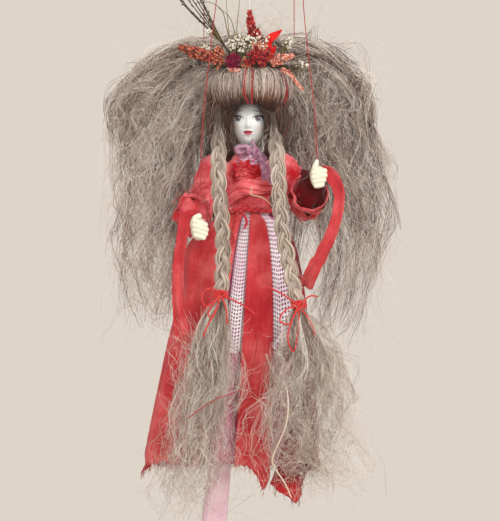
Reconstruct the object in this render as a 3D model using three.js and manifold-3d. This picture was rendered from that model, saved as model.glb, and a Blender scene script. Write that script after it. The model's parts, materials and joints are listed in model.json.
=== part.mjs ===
// String puppet: a doll with fired clay head and hands, a gathered gauze dress and long flax hair,
// hung by five strings from a plain wooden control. Millimetres, +Z up, the figure faces -Y.
// The origin is the point inside the hook's eye that carries the whole puppet.
import * as THREE from 'three';
import { mergeVertices } from 'three/addons/utils/BufferGeometryUtils.js';
import Module from 'manifold-3d';

const wasm = await Module();
wasm.setup();

// Fits shared by all pieces
const FIT = 0.3;
const PIN_FIT = 0.3;

// Wooden control, its screws and its hook
const HOOK_EYE_R = 6;
const HOOK_WIRE_R = 1.5;
const HOOK_SHANK_DEPTH = 7;
const MAIN_BAR_LENGTH = 126;
const MAIN_BAR_WIDTH = 16;
const MAIN_BAR_THICK = 9;
const MAIN_BAR_Y = -14;
const CROSSBAR_WIDTH = 13;
const CROSSBAR_THICK = 7;
const HAND_BAR_LENGTH = 116;
const HAND_BAR_INSET = 25;
const SHOULDER_BAR_LENGTH = 100;
const SHOULDER_BAR_INSET = 23;
const BAR_EDGE = 1;
const SCREW_R = 1.6;
const SCREW_HEAD_R = 3.3;
const SCREW_HEAD_THICK = 1.8;
const SCREW_BITE = 5;

// Strings
const HEAD_CORD_R = 1;
const THREAD_R = 0.4;
const LEFT_HAND_STRING_X = -22;
const RIGHT_HAND_STRING_X = 46;
const SHOULDER_STRING_X = 41;

// Head, neck and torso
const HEAD_Z = -172;
const HEAD_HALF_WIDTH = 15.5;
const HEAD_HALF_DEPTH = 17.5;
const HEAD_HALF_HEIGHT = 22.5;
const NECK_R = 5.5;
const NECK_DOWEL_R = 1.8;
const NECK_DOWEL_RISE = 14;
const NECK_DOWEL_DEPTH = 12;
const NECK_SOCKET_DEPTH = 4;
const CORD_HOLE_DEPTH = 4;
const TORSO_TOP_Z = -204;
const TORSO_HEIGHT = 78;
const TORSO_HALF_WIDTH = 20.5;
const TORSO_HALF_DEPTH = 13;
const WAIST_Z = -253;

// Arms: pivots and hands as the strings hold them
const SHOULDER_X = 32;
const SHOULDER_Z = -213;
const SHOULDER_ROD_R = 1.5;
const SHOULDER_ROD_HEAD_R = 2.5;
const SHOULDER_ROD_HEAD_THICK = 1;
const SHOULDER_KNUCKLE_R = 6;
const UPPER_ARM_R = 4.6;
const ELBOW_KNUCKLE_R = 5.8;
const ELBOW_SLOT = 4.6;
const ELBOW_PIN_R = 1.2;
const ELBOW_PIN_LENGTH = 11;
const FOREARM_R = 3.8;
const FOREARM_LENGTH = 44;
const LEFT_ELBOW = new THREE.Vector3(-45, 6, WAIST_Z + 2);
const RIGHT_ELBOW = new THREE.Vector3(52, 2, WAIST_Z + 5);
const LEFT_GRIP = new THREE.Vector3(-44.5, -50, WAIST_Z - 15);
const RIGHT_GRIP = new THREE.Vector3(61, -46, WAIST_Z + 31);
const LEFT_MOUTH = new THREE.Vector3(-52, -29, WAIST_Z - 2);
const LEFT_MOUTH_HALF_X = 15;
const LEFT_MOUTH_HALF_Z = 18;
const RIGHT_MOUTH = new THREE.Vector3(54.5, -29, WAIST_Z + 18);
const RIGHT_MOUTH_HALF_X = 17;
const RIGHT_MOUTH_HALF_Z = 19;
const FINGER_R = 2.9;
const FINGER_LENGTH = 9;
const FINGER_PITCH = 4.5;
const FINGER_COUNT = 4;
const FINGER_REACH = [0.72, 0.9, 1, 0.95];
const LEFT_SLANT = 0.3;
const RIGHT_SLANT = -0.12;
const THUMB_R = 2.7;
const THUMB_LENGTH = 8;

// Dress
const CLOTH = 1.2;
const LAYER_TOP_PITCH = 2;
const LAYER_HEM_PITCH = 6;
const BODICE_WALL = 3;
const CHEST_ROLL_R = 8.5;
const CHEST_ROLL_RISE = 20;
const SASH_HEIGHT = 6;
const TUCK = 5;
const SASH_DROP = 1.5;
const SASH_WALL = 2;
const SCARF_R = 13;
const SCARF_TOP_Z = -195.5;
const SCARF_HEIGHT = 13;
const SKIRT_DROP = 238;
const HEM_HALF_WIDTH = 66;
const HEM_HALF_DEPTH = 24;
const HEM_SHIFT_X = -18;
const SKIRT_FLARE = 0.45;
const FOLD_COUNT = 12;
const FOLD_DEPTH = 4;
const SLEEVE_WALL = 1.5;
const SLEEVE_SHOULDER_R = 13;
const SLEEVE_ELBOW_R = 13.5;
const SLEEVE_TIE = 3;
const RIBBON_WIDTH = 17;
const RIBBON_GATHER = 5;

// Hair
const ROLL_R = 37.5;
const ROLL_HEIGHT = 41;
const ROLL_TOP_Z = -124;
const CROWN_HEIGHT = 28;
const HAIRLINE_RISE = 8;
const SIDE_HAIR_TOP_X = 36;
const SIDE_HAIR_X = 44;
const SIDE_HAIR_Y = 42;
const BACK_HAIR_DEPTH = 17;
const BRAID_R = 7.2;
const TIE_R = 9.5;
const TIE_HEIGHT = 7;

// Dried flowers on the crown
const WREATH_RING_R = 26;
const WREATH_R = 3;

// A cutting block this wide passes right through any piece that it trims
const AMPLE = 100;

const X_AXIS = new THREE.Vector3(1, 0, 0);
const Z_AXIS = new THREE.Vector3(0, 0, 1);
const at = (x, y, z) => new THREE.Vector3(x, y, z);

// Closed geometry as a solid for cutting and joining, wound outwards
function toSolid(geometry) {
  const bare = geometry.clone();
  bare.deleteAttribute('normal');
  bare.deleteAttribute('uv');
  const merged = mergeVertices(bare, 1e-4);
  const points = merged.getAttribute('position');
  const corner = [0, 1, 2].map(() => new THREE.Vector3());
  const triangles = [];
  let volume = 0;
  for (let i = 0; i < merged.index.count; i += 3) {
    const ids = [0, 1, 2].map((k) => merged.index.getX(i + k));
    if (new Set(ids).size < 3) continue;
    ids.forEach((id, k) => corner[k].fromBufferAttribute(points, id));
    volume += corner[0].dot(corner[1].clone().cross(corner[2]));
    triangles.push(ids);
  }
  const wound = volume < 0 ? triangles.map(([a, b, c]) => [a, c, b]) : triangles;
  const vertProperties = new Float32Array(points.array);
  const triVerts = new Uint32Array(wound.flat());
  return new wasm.Manifold(new wasm.Mesh({ numProp: 3, vertProperties, triVerts }));
}

function toGeometry(solid) {
  const mesh = solid.getMesh();
  const geometry = new THREE.BufferGeometry();
  geometry.setAttribute('position', new THREE.BufferAttribute(new Float32Array(mesh.vertProperties), 3));
  geometry.setIndex(new THREE.BufferAttribute(new Uint32Array(mesh.triVerts), 1));
  geometry.computeVertexNormals();
  return geometry;
}

// A skin of CylinderGeometry bent along a path; section(t, angle) gives the two offsets across it,
// the first along the reference direction and the second square to it
function skin(path, sides, steps, section, reference = X_AXIS) {
  const geometry = new THREE.CylinderGeometry(1, 1, 1, sides, steps);
  const points = geometry.getAttribute('position');
  for (let i = 0; i < points.count; i += 1) {
    const t = 0.5 - points.getY(i);
    const angle = Math.atan2(points.getX(i), points.getZ(i));
    const reach = Math.min(1, Math.hypot(points.getX(i), points.getZ(i)));
    const tangent = path.getTangent(t);
    const across = reference.clone().addScaledVector(tangent, -reference.dot(tangent)).normalize();
    const up = tangent.clone().cross(across);
    const [a, b] = section(t, angle);
    const place = path.getPoint(t).addScaledVector(across, a * reach).addScaledVector(up, b * reach);
    points.setXYZ(i, place.x, place.y, place.z);
  }
  return toSolid(geometry);
}

const ellipse = (halfA, halfB) => (t, angle) => [halfA(t) * Math.sin(angle), halfB(t) * Math.cos(angle)];
const fixed = (value) => () => value;
const ramp = (from, to) => (t) => from + (to - from) * t;

// Smooth run of a size through evenly spaced stations
function through(...values) {
  const curve = new THREE.SplineCurve(values.map((value, i) => new THREE.Vector2(i, value)));
  return (t) => curve.getPoint(t).y;
}

function rod(from, to, startR, endR = startR, sides = 10) {
  const reference = Math.abs(to.x - from.x) > 0.9 * from.distanceTo(to) ? Z_AXIS : X_AXIS;
  const radius = ramp(startR, endR);
  return skin(new THREE.LineCurve3(from, to), sides, 1, ellipse(radius, radius), reference);
}

function cord(points, radius, steps) {
  const path = new THREE.CatmullRomCurve3(points);
  return skin(path, 8, steps, ellipse(fixed(radius), fixed(radius)));
}

function ball(centre, halfX, halfY, halfZ, around = 8, down = 5) {
  const geometry = new THREE.SphereGeometry(1, around, down);
  geometry.rotateX(Math.PI / 2).scale(halfX, halfY, halfZ).translate(centre.x, centre.y, centre.z);
  return toSolid(geometry);
}

function block(centre, sizeX, sizeY, sizeZ) {
  const geometry = new THREE.BoxGeometry(sizeX, sizeY, sizeZ);
  return toSolid(geometry.translate(centre.x, centre.y, centre.z));
}

// Profile of [radius, z] pairs turned about the vertical
function turned(profile, segments) {
  const outline = profile.map(([r, z]) => new THREE.Vector2(r, z));
  return toSolid(new THREE.LatheGeometry(outline, segments).rotateX(Math.PI / 2));
}

// Bar with rounded ends and eased edges, its length along X
function roundedBar(length, width, thick) {
  const half = length / 2 - width / 2;
  const r = width / 2 - BAR_EDGE;
  const outline = new THREE.Shape();
  outline.absarc(half, 0, r, -Math.PI / 2, Math.PI / 2, false);
  outline.absarc(-half, 0, r, Math.PI / 2, (3 * Math.PI) / 2, false);
  const geometry = new THREE.ExtrudeGeometry(outline, {
    depth: thick - 2 * BAR_EDGE,
    bevelThickness: BAR_EDGE,
    bevelSize: BAR_EDGE,
    bevelSegments: 1,
    curveSegments: 5,
  });
  return geometry.translate(0, 0, BAR_EDGE);
}

// Thin cloth of even thickness over surface(u, v), u across and v down
function cloth(across, down, surface, thick = CLOTH) {
  const geometry = new THREE.BoxGeometry(1, 1, 1, across, down, 1);
  const points = geometry.getAttribute('position');
  const step = 0.01;
  for (let i = 0; i < points.count; i += 1) {
    const u = points.getX(i) + 0.5;
    const v = 0.5 - points.getY(i);
    const alongU = surface(u + step, v).sub(surface(u - step, v));
    const alongV = surface(u, v + step).sub(surface(u, v - step));
    const normal = alongV.cross(alongU).normalize();
    const place = surface(u, v).addScaledVector(normal, points.getZ(i) * thick);
    points.setXYZ(i, place.x, place.y, place.z);
  }
  return toSolid(geometry);
}

const puppet = new THREE.Group();

function place(name, shape, color, roughness, metalness = 0) {
  const geometry = shape.isBufferGeometry ? shape : toGeometry(shape);
  const mesh = new THREE.Mesh(geometry, new THREE.MeshStandardMaterial({ color, roughness, metalness }));
  mesh.name = name;
  puppet.add(mesh);
  return mesh;
}

const WOOD = 0xc79a62;
const STEEL = 0xb9bcc0;
const WHITE_CORD = 0xf2f0e8;
const RED_THREAD = 0xc0282c;
const CLAY = 0xeceadb;
const PORCELAIN = 0xe2e4d8;
const RED_GAUZE = 0xd13a40;
const DARK_RED = 0x7d1620;
const PINK = 0xd795b4;
const LACE = 0xecd9e4;
const PALE_PINK = 0xe2b6c6;
const FLAX = 0xb09a84;
const TIE_RED = 0xe6281f;
const TWIG = 0x4b3a2c;
const ORANGE = 0xc9573a;
const CRIMSON = 0x9c1c3c;

// Control: main bar, two crossbars on it, a screw up into each, and the hook
const handBarY = MAIN_BAR_Y - MAIN_BAR_LENGTH / 2 + HAND_BAR_INSET;
const shoulderBarY = MAIN_BAR_Y + MAIN_BAR_LENGTH / 2 - SHOULDER_BAR_INSET;
const barTop = -2 * HOOK_EYE_R - 2 * HOOK_WIRE_R - FIT;
const barBottom = barTop - MAIN_BAR_THICK;
const crossbarBottom = barTop + FIT;
const screwHole = (y, bottom, top) => rod(at(0, y, bottom), at(0, y, top), SCREW_R + PIN_FIT);
const screwTip = crossbarBottom + SCREW_BITE;
let mainBar = toSolid(roundedBar(MAIN_BAR_LENGTH, MAIN_BAR_WIDTH, MAIN_BAR_THICK)
  .rotateZ(Math.PI / 2).translate(0, MAIN_BAR_Y, barBottom));
for (const y of [handBarY, shoulderBarY]) {
  mainBar = mainBar.subtract(screwHole(y, barBottom - FIT, barTop + FIT));
}
const shankEnd = barTop - HOOK_SHANK_DEPTH;
mainBar = mainBar.subtract(rod(at(0, 0, shankEnd - FIT), at(0, 0, barTop + FIT), HOOK_WIRE_R + PIN_FIT));
place('control_bar', mainBar, WOOD, 0.55);

for (const [name, length, y] of [
  ['hand_bar', HAND_BAR_LENGTH, handBarY],
  ['shoulder_bar', SHOULDER_BAR_LENGTH, shoulderBarY],
]) {
  const bar = toSolid(roundedBar(length, CROSSBAR_WIDTH, CROSSBAR_THICK).translate(0, y, crossbarBottom));
  place(name, bar.subtract(screwHole(y, crossbarBottom - FIT, screwTip + FIT)), WOOD, 0.55);
  const head = barBottom - FIT;
  const screw = turned([[0, head - SCREW_HEAD_THICK], [SCREW_HEAD_R, head - SCREW_HEAD_THICK / 2],
    [SCREW_HEAD_R, head], [SCREW_R, head], [SCREW_R, screwTip - SCREW_R], [0, screwTip]], 12);
  place(`${name}_screw`, toGeometry(screw), STEEL, 0.35, 0.9).position.set(0, y, 0);
}

const eyeRing = new THREE.TorusGeometry(HOOK_EYE_R + HOOK_WIRE_R, HOOK_WIRE_R, 7, 16);
eyeRing.rotateX(Math.PI / 2).translate(0, 0, -HOOK_EYE_R);
const shank = rod(at(0, 0, shankEnd), at(0, 0, -2 * HOOK_EYE_R - HOOK_WIRE_R), HOOK_WIRE_R, HOOK_WIRE_R, 7);
place('hanging_hook', toSolid(eyeRing).add(shank), STEEL, 0.3, 0.9);

// Torso: sloping shoulders, narrow waist, rounded hips, with a socket for the neck
const torsoBottom = TORSO_TOP_Z - TORSO_HEIGHT;
const torsoWidth = through(0.45, 1, 0.99, 0.88, 0.8, 0.9, 0.95, 0.5);
const torsoDepth = through(0.6, 0.85, 1, 1, 0.92, 1, 1.02, 0.5);
const torsoShape = (grow) => skin(
  new THREE.LineCurve3(at(0, 0, TORSO_TOP_Z + grow), at(0, 0, torsoBottom - grow)), 14, 7,
  ellipse((t) => torsoWidth(t) * TORSO_HALF_WIDTH + grow, (t) => torsoDepth(t) * TORSO_HALF_DEPTH + grow),
);
const neckBase = TORSO_TOP_Z - NECK_SOCKET_DEPTH + FIT;
const dowelTop = neckBase + NECK_DOWEL_RISE;
const dowelEnd = neckBase - NECK_DOWEL_DEPTH;
const rodEnd = SHOULDER_X + SHOULDER_KNUCKLE_R + 5 * FIT;
const shoulderY = NECK_DOWEL_R + SHOULDER_ROD_R + 3 * FIT;
const alongShoulders = (half, radius) => rod(
  at(-half, shoulderY, SHOULDER_Z), at(half, shoulderY, SHOULDER_Z), radius,
);
const rodBore = alongShoulders(rodEnd, SHOULDER_ROD_R + PIN_FIT);
const neckSocket = rod(at(0, 0, neckBase - FIT), at(0, 0, TORSO_TOP_Z + 1), NECK_R + FIT, NECK_R + FIT, 20);
const dowelBore = rod(at(0, 0, dowelEnd - FIT), at(0, 0, TORSO_TOP_Z), NECK_DOWEL_R + PIN_FIT);
place('torso', torsoShape(0).subtract(neckSocket).subtract(dowelBore).subtract(rodBore), WOOD, 0.6);
place('neck_dowel', rod(at(0, 0, dowelEnd), at(0, 0, dowelTop), NECK_DOWEL_R, NECK_DOWEL_R, 12), WOOD, 0.6);

// Head: an egg drawn in at the jaw, with nose, chin, lips and eye hollows pressed into the clay
function headShape(grow, around, down) {
  const geometry = new THREE.SphereGeometry(1, around, down).rotateX(Math.PI / 2);
  const points = geometry.getAttribute('position');
  const bump = (x, z, cx, cz, rx, rz) => Math.exp(-(((x - cx) / rx) ** 2) - ((z - cz) / rz) ** 2);
  for (let i = 0; i < points.count; i += 1) {
    const [x, y, z] = [points.getX(i), points.getY(i), points.getZ(i)];
    const jaw = z < 0 ? 1 - 0.34 * z * z : 1;
    const front = Math.max(0, -y);
    const relief = 0.16 * bump(x, z, 0, -0.2, 0.16, 0.2) + 0.08 * bump(x, z, 0, -0.52, 0.3, 0.09)
      + 0.1 * bump(x, z, 0, -0.85, 0.3, 0.2) - 0.1 * bump(Math.abs(x), z, 0.42, 0.02, 0.24, 0.16);
    points.setXYZ(
      i,
      x * jaw * (HEAD_HALF_WIDTH + grow),
      (y * (z < 0 ? 1 - 0.22 * z * z : 1) - front * relief) * (HEAD_HALF_DEPTH + grow),
      HEAD_Z + z * (HEAD_HALF_HEIGHT + grow),
    );
  }
  return toSolid(geometry);
}
const headTop = HEAD_Z + HEAD_HALF_HEIGHT;
const neck = rod(at(0, 0, neckBase), at(0, 0, HEAD_Z), NECK_R, NECK_R, 20);
const cordHole = rod(at(0, 0, headTop - CORD_HOLE_DEPTH), at(0, 0, headTop + 1), HEAD_CORD_R + PIN_FIT);
const dowelHole = rod(at(0, 0, neckBase - 1), at(0, 0, dowelTop + FIT), NECK_DOWEL_R + PIN_FIT);
place('head', headShape(0, 24, 16).add(neck).subtract(cordHole).subtract(dowelHole), PORCELAIN, 0.35);

// Arms: a rod through the shoulders, forked elbows with a pin, clay fists with the thumb up
const rodHead = (side) => rod(at(side * rodEnd, shoulderY, SHOULDER_Z),
  at(side * (rodEnd + SHOULDER_ROD_HEAD_THICK), shoulderY, SHOULDER_Z), SHOULDER_ROD_HEAD_R);
const shoulderRod = alongShoulders(rodEnd + SHOULDER_ROD_HEAD_THICK / 2, SHOULDER_ROD_R);
place('shoulder_rod', shoulderRod.add(rodHead(-1)).add(rodHead(1)), STEEL, 0.4, 0.8);

function acrossX(centre, length, radius, sides = 8) {
  const start = at(centre.x - length / 2, centre.y, centre.z);
  return rod(start, at(centre.x + length / 2, centre.y, centre.z), radius, radius, sides);
}
const fistHeight = (FINGER_COUNT - 1) * FINGER_PITCH + 2 * FINGER_R;

// Fist in its own frame: an egg of clay with the fingers curled one above the other, thumb on top;
// slant leans the rows of fingers to one side
function fist(slant) {
  let hand = ball(at(0, 2.2, 0), FINGER_LENGTH / 2 + 1.3, 5.6, fistHeight / 2 + 0.6, 12, 7);
  for (let i = 0; i < FINGER_COUNT; i += 1) {
    const finger = new THREE.CapsuleGeometry(FINGER_R, FINGER_LENGTH - FINGER_R, 2, 6).rotateZ(Math.PI / 2);
    finger.scale(FINGER_REACH[i], 1, 0.9).rotateY(slant);
    finger.translate(0, -0.5, (i - (FINGER_COUNT - 1) / 2) * FINGER_PITCH);
    hand = hand.add(toSolid(finger));
  }
  const thumb = new THREE.CapsuleGeometry(THUMB_R, THUMB_LENGTH, 2, 7).rotateX(Math.PI / 2 - 0.25);
  return hand.add(toSolid(thumb.translate(0, 0.5, fistHeight / 2)));
}

const arms = [
  ['left', -1, LEFT_SLANT, LEFT_ELBOW, LEFT_GRIP, LEFT_MOUTH, LEFT_MOUTH_HALF_X, LEFT_MOUTH_HALF_Z],
  ['right', 1, RIGHT_SLANT, RIGHT_ELBOW, RIGHT_GRIP, RIGHT_MOUTH, RIGHT_MOUTH_HALF_X, RIGHT_MOUTH_HALF_Z],
];
for (const [side, sign, slant, elbow, grip, mouth, mouthX, mouthZ] of arms) {
  const shoulder = at(sign * SHOULDER_X, shoulderY, SHOULDER_Z);
  const forward = grip.clone().sub(elbow).normalize();
  const wrist = elbow.clone().addScaledVector(forward, FOREARM_LENGTH);
  const slotR = ELBOW_KNUCKLE_R + 1.2;
  const upperArm = rod(shoulder, elbow, UPPER_ARM_R, UPPER_ARM_R, 10)
    .add(ball(shoulder, SHOULDER_KNUCKLE_R, SHOULDER_KNUCKLE_R, SHOULDER_KNUCKLE_R))
    .add(ball(elbow, ELBOW_KNUCKLE_R, ELBOW_KNUCKLE_R, ELBOW_KNUCKLE_R))
    .add(ball(elbow.clone().addScaledVector(Z_AXIS, slotR), slotR, 0.3 * slotR, 0.8 * slotR))
    .subtract(acrossX(shoulder, 4 * SHOULDER_KNUCKLE_R, SHOULDER_ROD_R + PIN_FIT))
    .subtract(acrossX(elbow, ELBOW_SLOT, slotR, 12))
    .subtract(acrossX(elbow, 4 * ELBOW_KNUCKLE_R, ELBOW_PIN_R + PIN_FIT));
  place(`${side}_upper_arm`, upperArm, WOOD, 0.6);
  place(`${side}_elbow_pin`, acrossX(elbow, ELBOW_PIN_LENGTH, ELBOW_PIN_R, 10), STEEL, 0.4, 0.8);

  const tongue = ELBOW_SLOT / 2 - FIT;
  const straight = at(0, forward.y, forward.z).normalize();
  const clearOfFork = slotR + 10 * FIT;
  const armRoot = elbow.clone().addScaledVector(straight, clearOfFork);
  const neckEnd = armRoot.clone().addScaledVector(straight, FOREARM_R);
  const armNeck = skin(new THREE.LineCurve3(elbow, neckEnd), 10, 1,
    ellipse(fixed(tongue), fixed(0.7 * FOREARM_R)));
  const forearm = acrossX(elbow, 2 * tongue, ELBOW_KNUCKLE_R - 2 * FIT)
    .add(armNeck)
    .add(rod(armRoot, wrist, FOREARM_R, FOREARM_R - 2 * FIT))
    .subtract(acrossX(elbow, 4 * ELBOW_KNUCKLE_R, ELBOW_PIN_R + PIN_FIT));
  place(`${side}_forearm`, forearm, WOOD, 0.6);

  const wristHoleEnd = wrist.clone().addScaledVector(forward, FIT);
  const wristHole = rod(armRoot, wristHoleEnd, FOREARM_R + FIT, FOREARM_R - FIT);
  const hand = toSolid(toGeometry(fist(slant)).translate(grip.x, grip.y, grip.z)).subtract(wristHole);
  place(`${side}_hand`, hand, CLAY, 0.4);

  // Sleeve: shoulder puff and wide bell, open at the armhole and the mouth, tied to the arm between
  const puffs = (inset, mouthRun) => {
    const elbowR = SLEEVE_ELBOW_R - inset;
    const shoulderR = SLEEVE_SHOULDER_R - inset;
    const bellEnd = elbow.clone().lerp(mouth, mouthRun);
    return skin(new THREE.LineCurve3(elbow, bellEnd), 12, 1,
      ellipse(ramp(elbowR, mouthX - inset), ramp(elbowR, mouthZ - inset)))
      .add(ball(elbow, elbowR, elbowR, elbowR))
      .add(ball(shoulder, shoulderR, shoulderR, shoulderR));
  };
  const tube = rod(shoulder, elbow, SLEEVE_SHOULDER_R, SLEEVE_ELBOW_R);
  const reach = shoulder.distanceTo(elbow);
  const down = elbow.clone().sub(shoulder).normalize();
  const tieTop = shoulder.clone().addScaledVector(down, reach / 2 - SLEEVE_TIE / 2);
  const tieEnd = shoulder.clone().addScaledVector(down, reach / 2 + SLEEVE_TIE / 2);
  const half = (SLEEVE_SHOULDER_R + SLEEVE_ELBOW_R) / 2 - SLEEVE_WALL;
  const cavities = rod(shoulder, tieTop, SLEEVE_SHOULDER_R - SLEEVE_WALL, half)
    .add(rod(tieEnd, elbow, half, SLEEVE_ELBOW_R - SLEEVE_WALL))
    .add(puffs(SLEEVE_WALL, 1.1))
    .subtract(rod(tieTop, tieEnd, 2 * SLEEVE_ELBOW_R));
  const armhole = block(at(0, 0, SHOULDER_Z), 2 * (TORSO_HALF_WIDTH + BODICE_WALL + 3 * FIT), AMPLE, AMPLE);
  const sleeve = tube.add(puffs(0, 1))
    .subtract(cavities).subtract(rod(shoulder, elbow, UPPER_ARM_R + FIT)).subtract(armhole);
  place(`${side}_sleeve`, sleeve, RED_GAUZE, 0.85);
}

// Bodice: crumpled gauze wrapped over the torso, with a gathered roll across the chest
const bodiceBottom = WAIST_Z + FIT;
const bodiceHeight = TORSO_TOP_Z + BODICE_WALL - bodiceBottom;
const bodiceShape = (grow) => skin(
  new THREE.LineCurve3(at(0, 0, TORSO_TOP_Z + BODICE_WALL + grow), at(0, 0, bodiceBottom)), 16, 5,
  (t, angle) => {
    const along = Math.min(1, (t * bodiceHeight) / TORSO_HEIGHT);
    const crumple = 0.5 * Math.cos(6 * angle) * Math.sin(7 * t);
    const wall = BODICE_WALL - 0.5 + grow + crumple;
    return [(torsoWidth(along) * TORSO_HALF_WIDTH + wall) * Math.sin(angle),
      (torsoDepth(along) * TORSO_HALF_DEPTH + wall) * Math.cos(angle)];
  },
);
const neckHole = rod(at(0, 0, TORSO_TOP_Z - 1), at(0, 0, SCARF_TOP_Z), NECK_R + FIT, NECK_R + FIT, 20);
const bodice = bodiceShape(0).subtract(torsoShape(FIT)).subtract(neckHole).subtract(rodBore);
place('bodice', bodice, RED_GAUZE, 0.85);

const roundChest = new THREE.EllipseCurve(0, 0, TORSO_HALF_WIDTH + 1, TORSO_HALF_DEPTH + 5, -2.85, -0.3);
const chestRollPath = new THREE.CatmullRomCurve3(
  roundChest.getPoints(6).map((p) => at(p.x, p.y, WAIST_Z + CHEST_ROLL_RISE + 1.5 * Math.sin(0.1 * p.x))),
);
const chestRollR = (t) => CHEST_ROLL_R * (0.45 + 0.55 * Math.sin(Math.PI * t) ** 0.5);
const chestRoll = skin(chestRollPath, 12, 9, (t, angle) => {
  const gather = chestRollR(t) * (1 + 0.07 * Math.cos(5 * angle));
  return [gather * Math.sin(angle), 0.7 * gather * Math.cos(angle)];
}, Z_AXIS);
place('chest_roll', chestRoll.subtract(bodiceShape(FIT)).subtract(torsoShape(FIT)), RED_GAUZE, 0.85);

// Neck scarf: a soft crinkled collar round the neck with a tail laid down the chest
const scarfMid = SCARF_TOP_Z - SCARF_HEIGHT / 2;
const scarfInner = NECK_R + FIT;
const scarf = turned([[scarfInner, SCARF_TOP_Z - SCARF_HEIGHT], [SCARF_R, scarfMid - 3], [SCARF_R, scarfMid],
  [SCARF_R - 3, SCARF_TOP_Z], [scarfInner, SCARF_TOP_Z], [scarfInner, SCARF_TOP_Z - SCARF_HEIGHT]], 12);
const scarfTail = ball(at(13, -TORSO_HALF_DEPTH - 3, SCARF_TOP_Z - 16), 6, 3.4, 12);
const scarfLobe = ball(at(9, -9, scarfMid - 2), 7, 6, 6);
place('neck_scarf', scarf.add(scarfLobe).add(scarfTail).subtract(bodiceShape(FIT)), PINK, 0.9);

// Skirt: every layer hangs on one field of folds round the waist, so that the layers nest.
// Angle 0 is the front and grows to the right; run is 0 at the waist and 1 at the hem.
const waistHalfWidth = torsoWidth((TORSO_TOP_Z - WAIST_Z) / TORSO_HEIGHT) * TORSO_HALF_WIDTH + FIT + CLOTH;
const waistHalfDepth = torsoDepth((TORSO_TOP_Z - WAIST_Z) / TORSO_HEIGHT) * TORSO_HALF_DEPTH + FIT + CLOTH;
function skirtPoint(degrees, drop, layer) {
  const run = Math.max(0, drop - TUCK) / (SKIRT_DROP - TUCK);
  const spread = run ** SKIRT_FLARE;
  const angle = THREE.MathUtils.degToRad(degrees);
  const fold = FOLD_DEPTH * run ** 0.8 * Math.cos(FOLD_COUNT * angle + 2.5 * run);
  const pitch = LAYER_TOP_PITCH + (LAYER_HEM_PITCH - LAYER_TOP_PITCH) * run ** 0.5;
  const out = layer * pitch + fold;
  const halfWidth = waistHalfWidth + (HEM_HALF_WIDTH - waistHalfWidth) * spread + out;
  const halfDepth = waistHalfDepth + (HEM_HALF_DEPTH - waistHalfDepth) * spread + out;
  const x = HEM_SHIFT_X * run + halfWidth * Math.sin(angle);
  return at(x, -halfDepth * Math.cos(angle), WAIST_Z - drop);
}
// A strip of cloth between two angles; an edge that isn't straight sweeps to its own angle at the hem
const wedge = (from, to, top, ends, layer, fromHem = from) => (u, v) => {
  const share = v * Math.abs(v);
  const edge = from + (fromHem - from) * share * share;
  return skirtPoint(edge + (to - edge) * u, top + (ends(u) - top) * share, layer);
};
const evenHem = (drop) => () => drop;
const pointedHem = (side, point, where) => (u) => {
  const rise = Math.max(0, 1 - Math.abs(u - where) / 0.6);
  return side + (point - side) * rise;
};

place('underskirt', cloth(36, 11, wedge(-150, 150, FIT, evenHem(226), 0)), PINK, 0.9);
place('left_lace', cloth(5, 8, wedge(-13, 4, FIT, evenHem(122), 1)), LACE, 0.9);
place('right_lace', cloth(6, 8, wedge(27, 56, FIT, evenHem(128), 1)), LACE, 0.9);
place('right_gauze', cloth(6, 8, wedge(58, 88, FIT, evenHem(92), 1)), PINK, 0.9);
place('left_panel', cloth(14, 10, wedge(-112, -14, FIT, pointedHem(224, 234, 0.12), 2)), RED_GAUZE, 0.85);
place('centre_panel', cloth(6, 10, wedge(2, 28, FIT, pointedHem(226, 250, 0.78), 2)), RED_GAUZE, 0.85);
place('right_panel', cloth(10, 11, wedge(84, 108, FIT, pointedHem(236, 262, 0.12), 2, 31)), DARK_RED, 0.85);
place('back_panel', cloth(14, 10, wedge(118, 240, FIT, evenHem(226), 2)), RED_GAUZE, 0.85);
place('pink_strip', cloth(5, 8, wedge(-18, 1, 150, evenHem(290), -0.64)), PALE_PINK, 0.9);

const sashInnerX = waistHalfWidth + 2 * LAYER_TOP_PITCH + CLOTH / 2 + FIT;
const sashInnerY = waistHalfDepth + 2 * LAYER_TOP_PITCH + CLOTH / 2 + FIT;
const sashMid = WAIST_Z - SASH_DROP + SASH_HEIGHT / 2;
const sashRing = (grow, height) => skin(
  new THREE.LineCurve3(at(0, 0, sashMid + height / 2), at(0, 0, sashMid - height / 2)), 24, 2,
  ellipse((t) => sashInnerX + grow * Math.sin(Math.PI * (0.2 + 0.6 * t)),
    (t) => sashInnerY + grow * Math.sin(Math.PI * (0.2 + 0.6 * t))));
const sashHole = sashRing(2 * FIT, SASH_HEIGHT + 1);
const sash = sashRing(SASH_WALL, SASH_HEIGHT).subtract(sashHole).subtract(bodiceShape(FIT));
place('waist_sash', sash, DARK_RED, 0.85);

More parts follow.
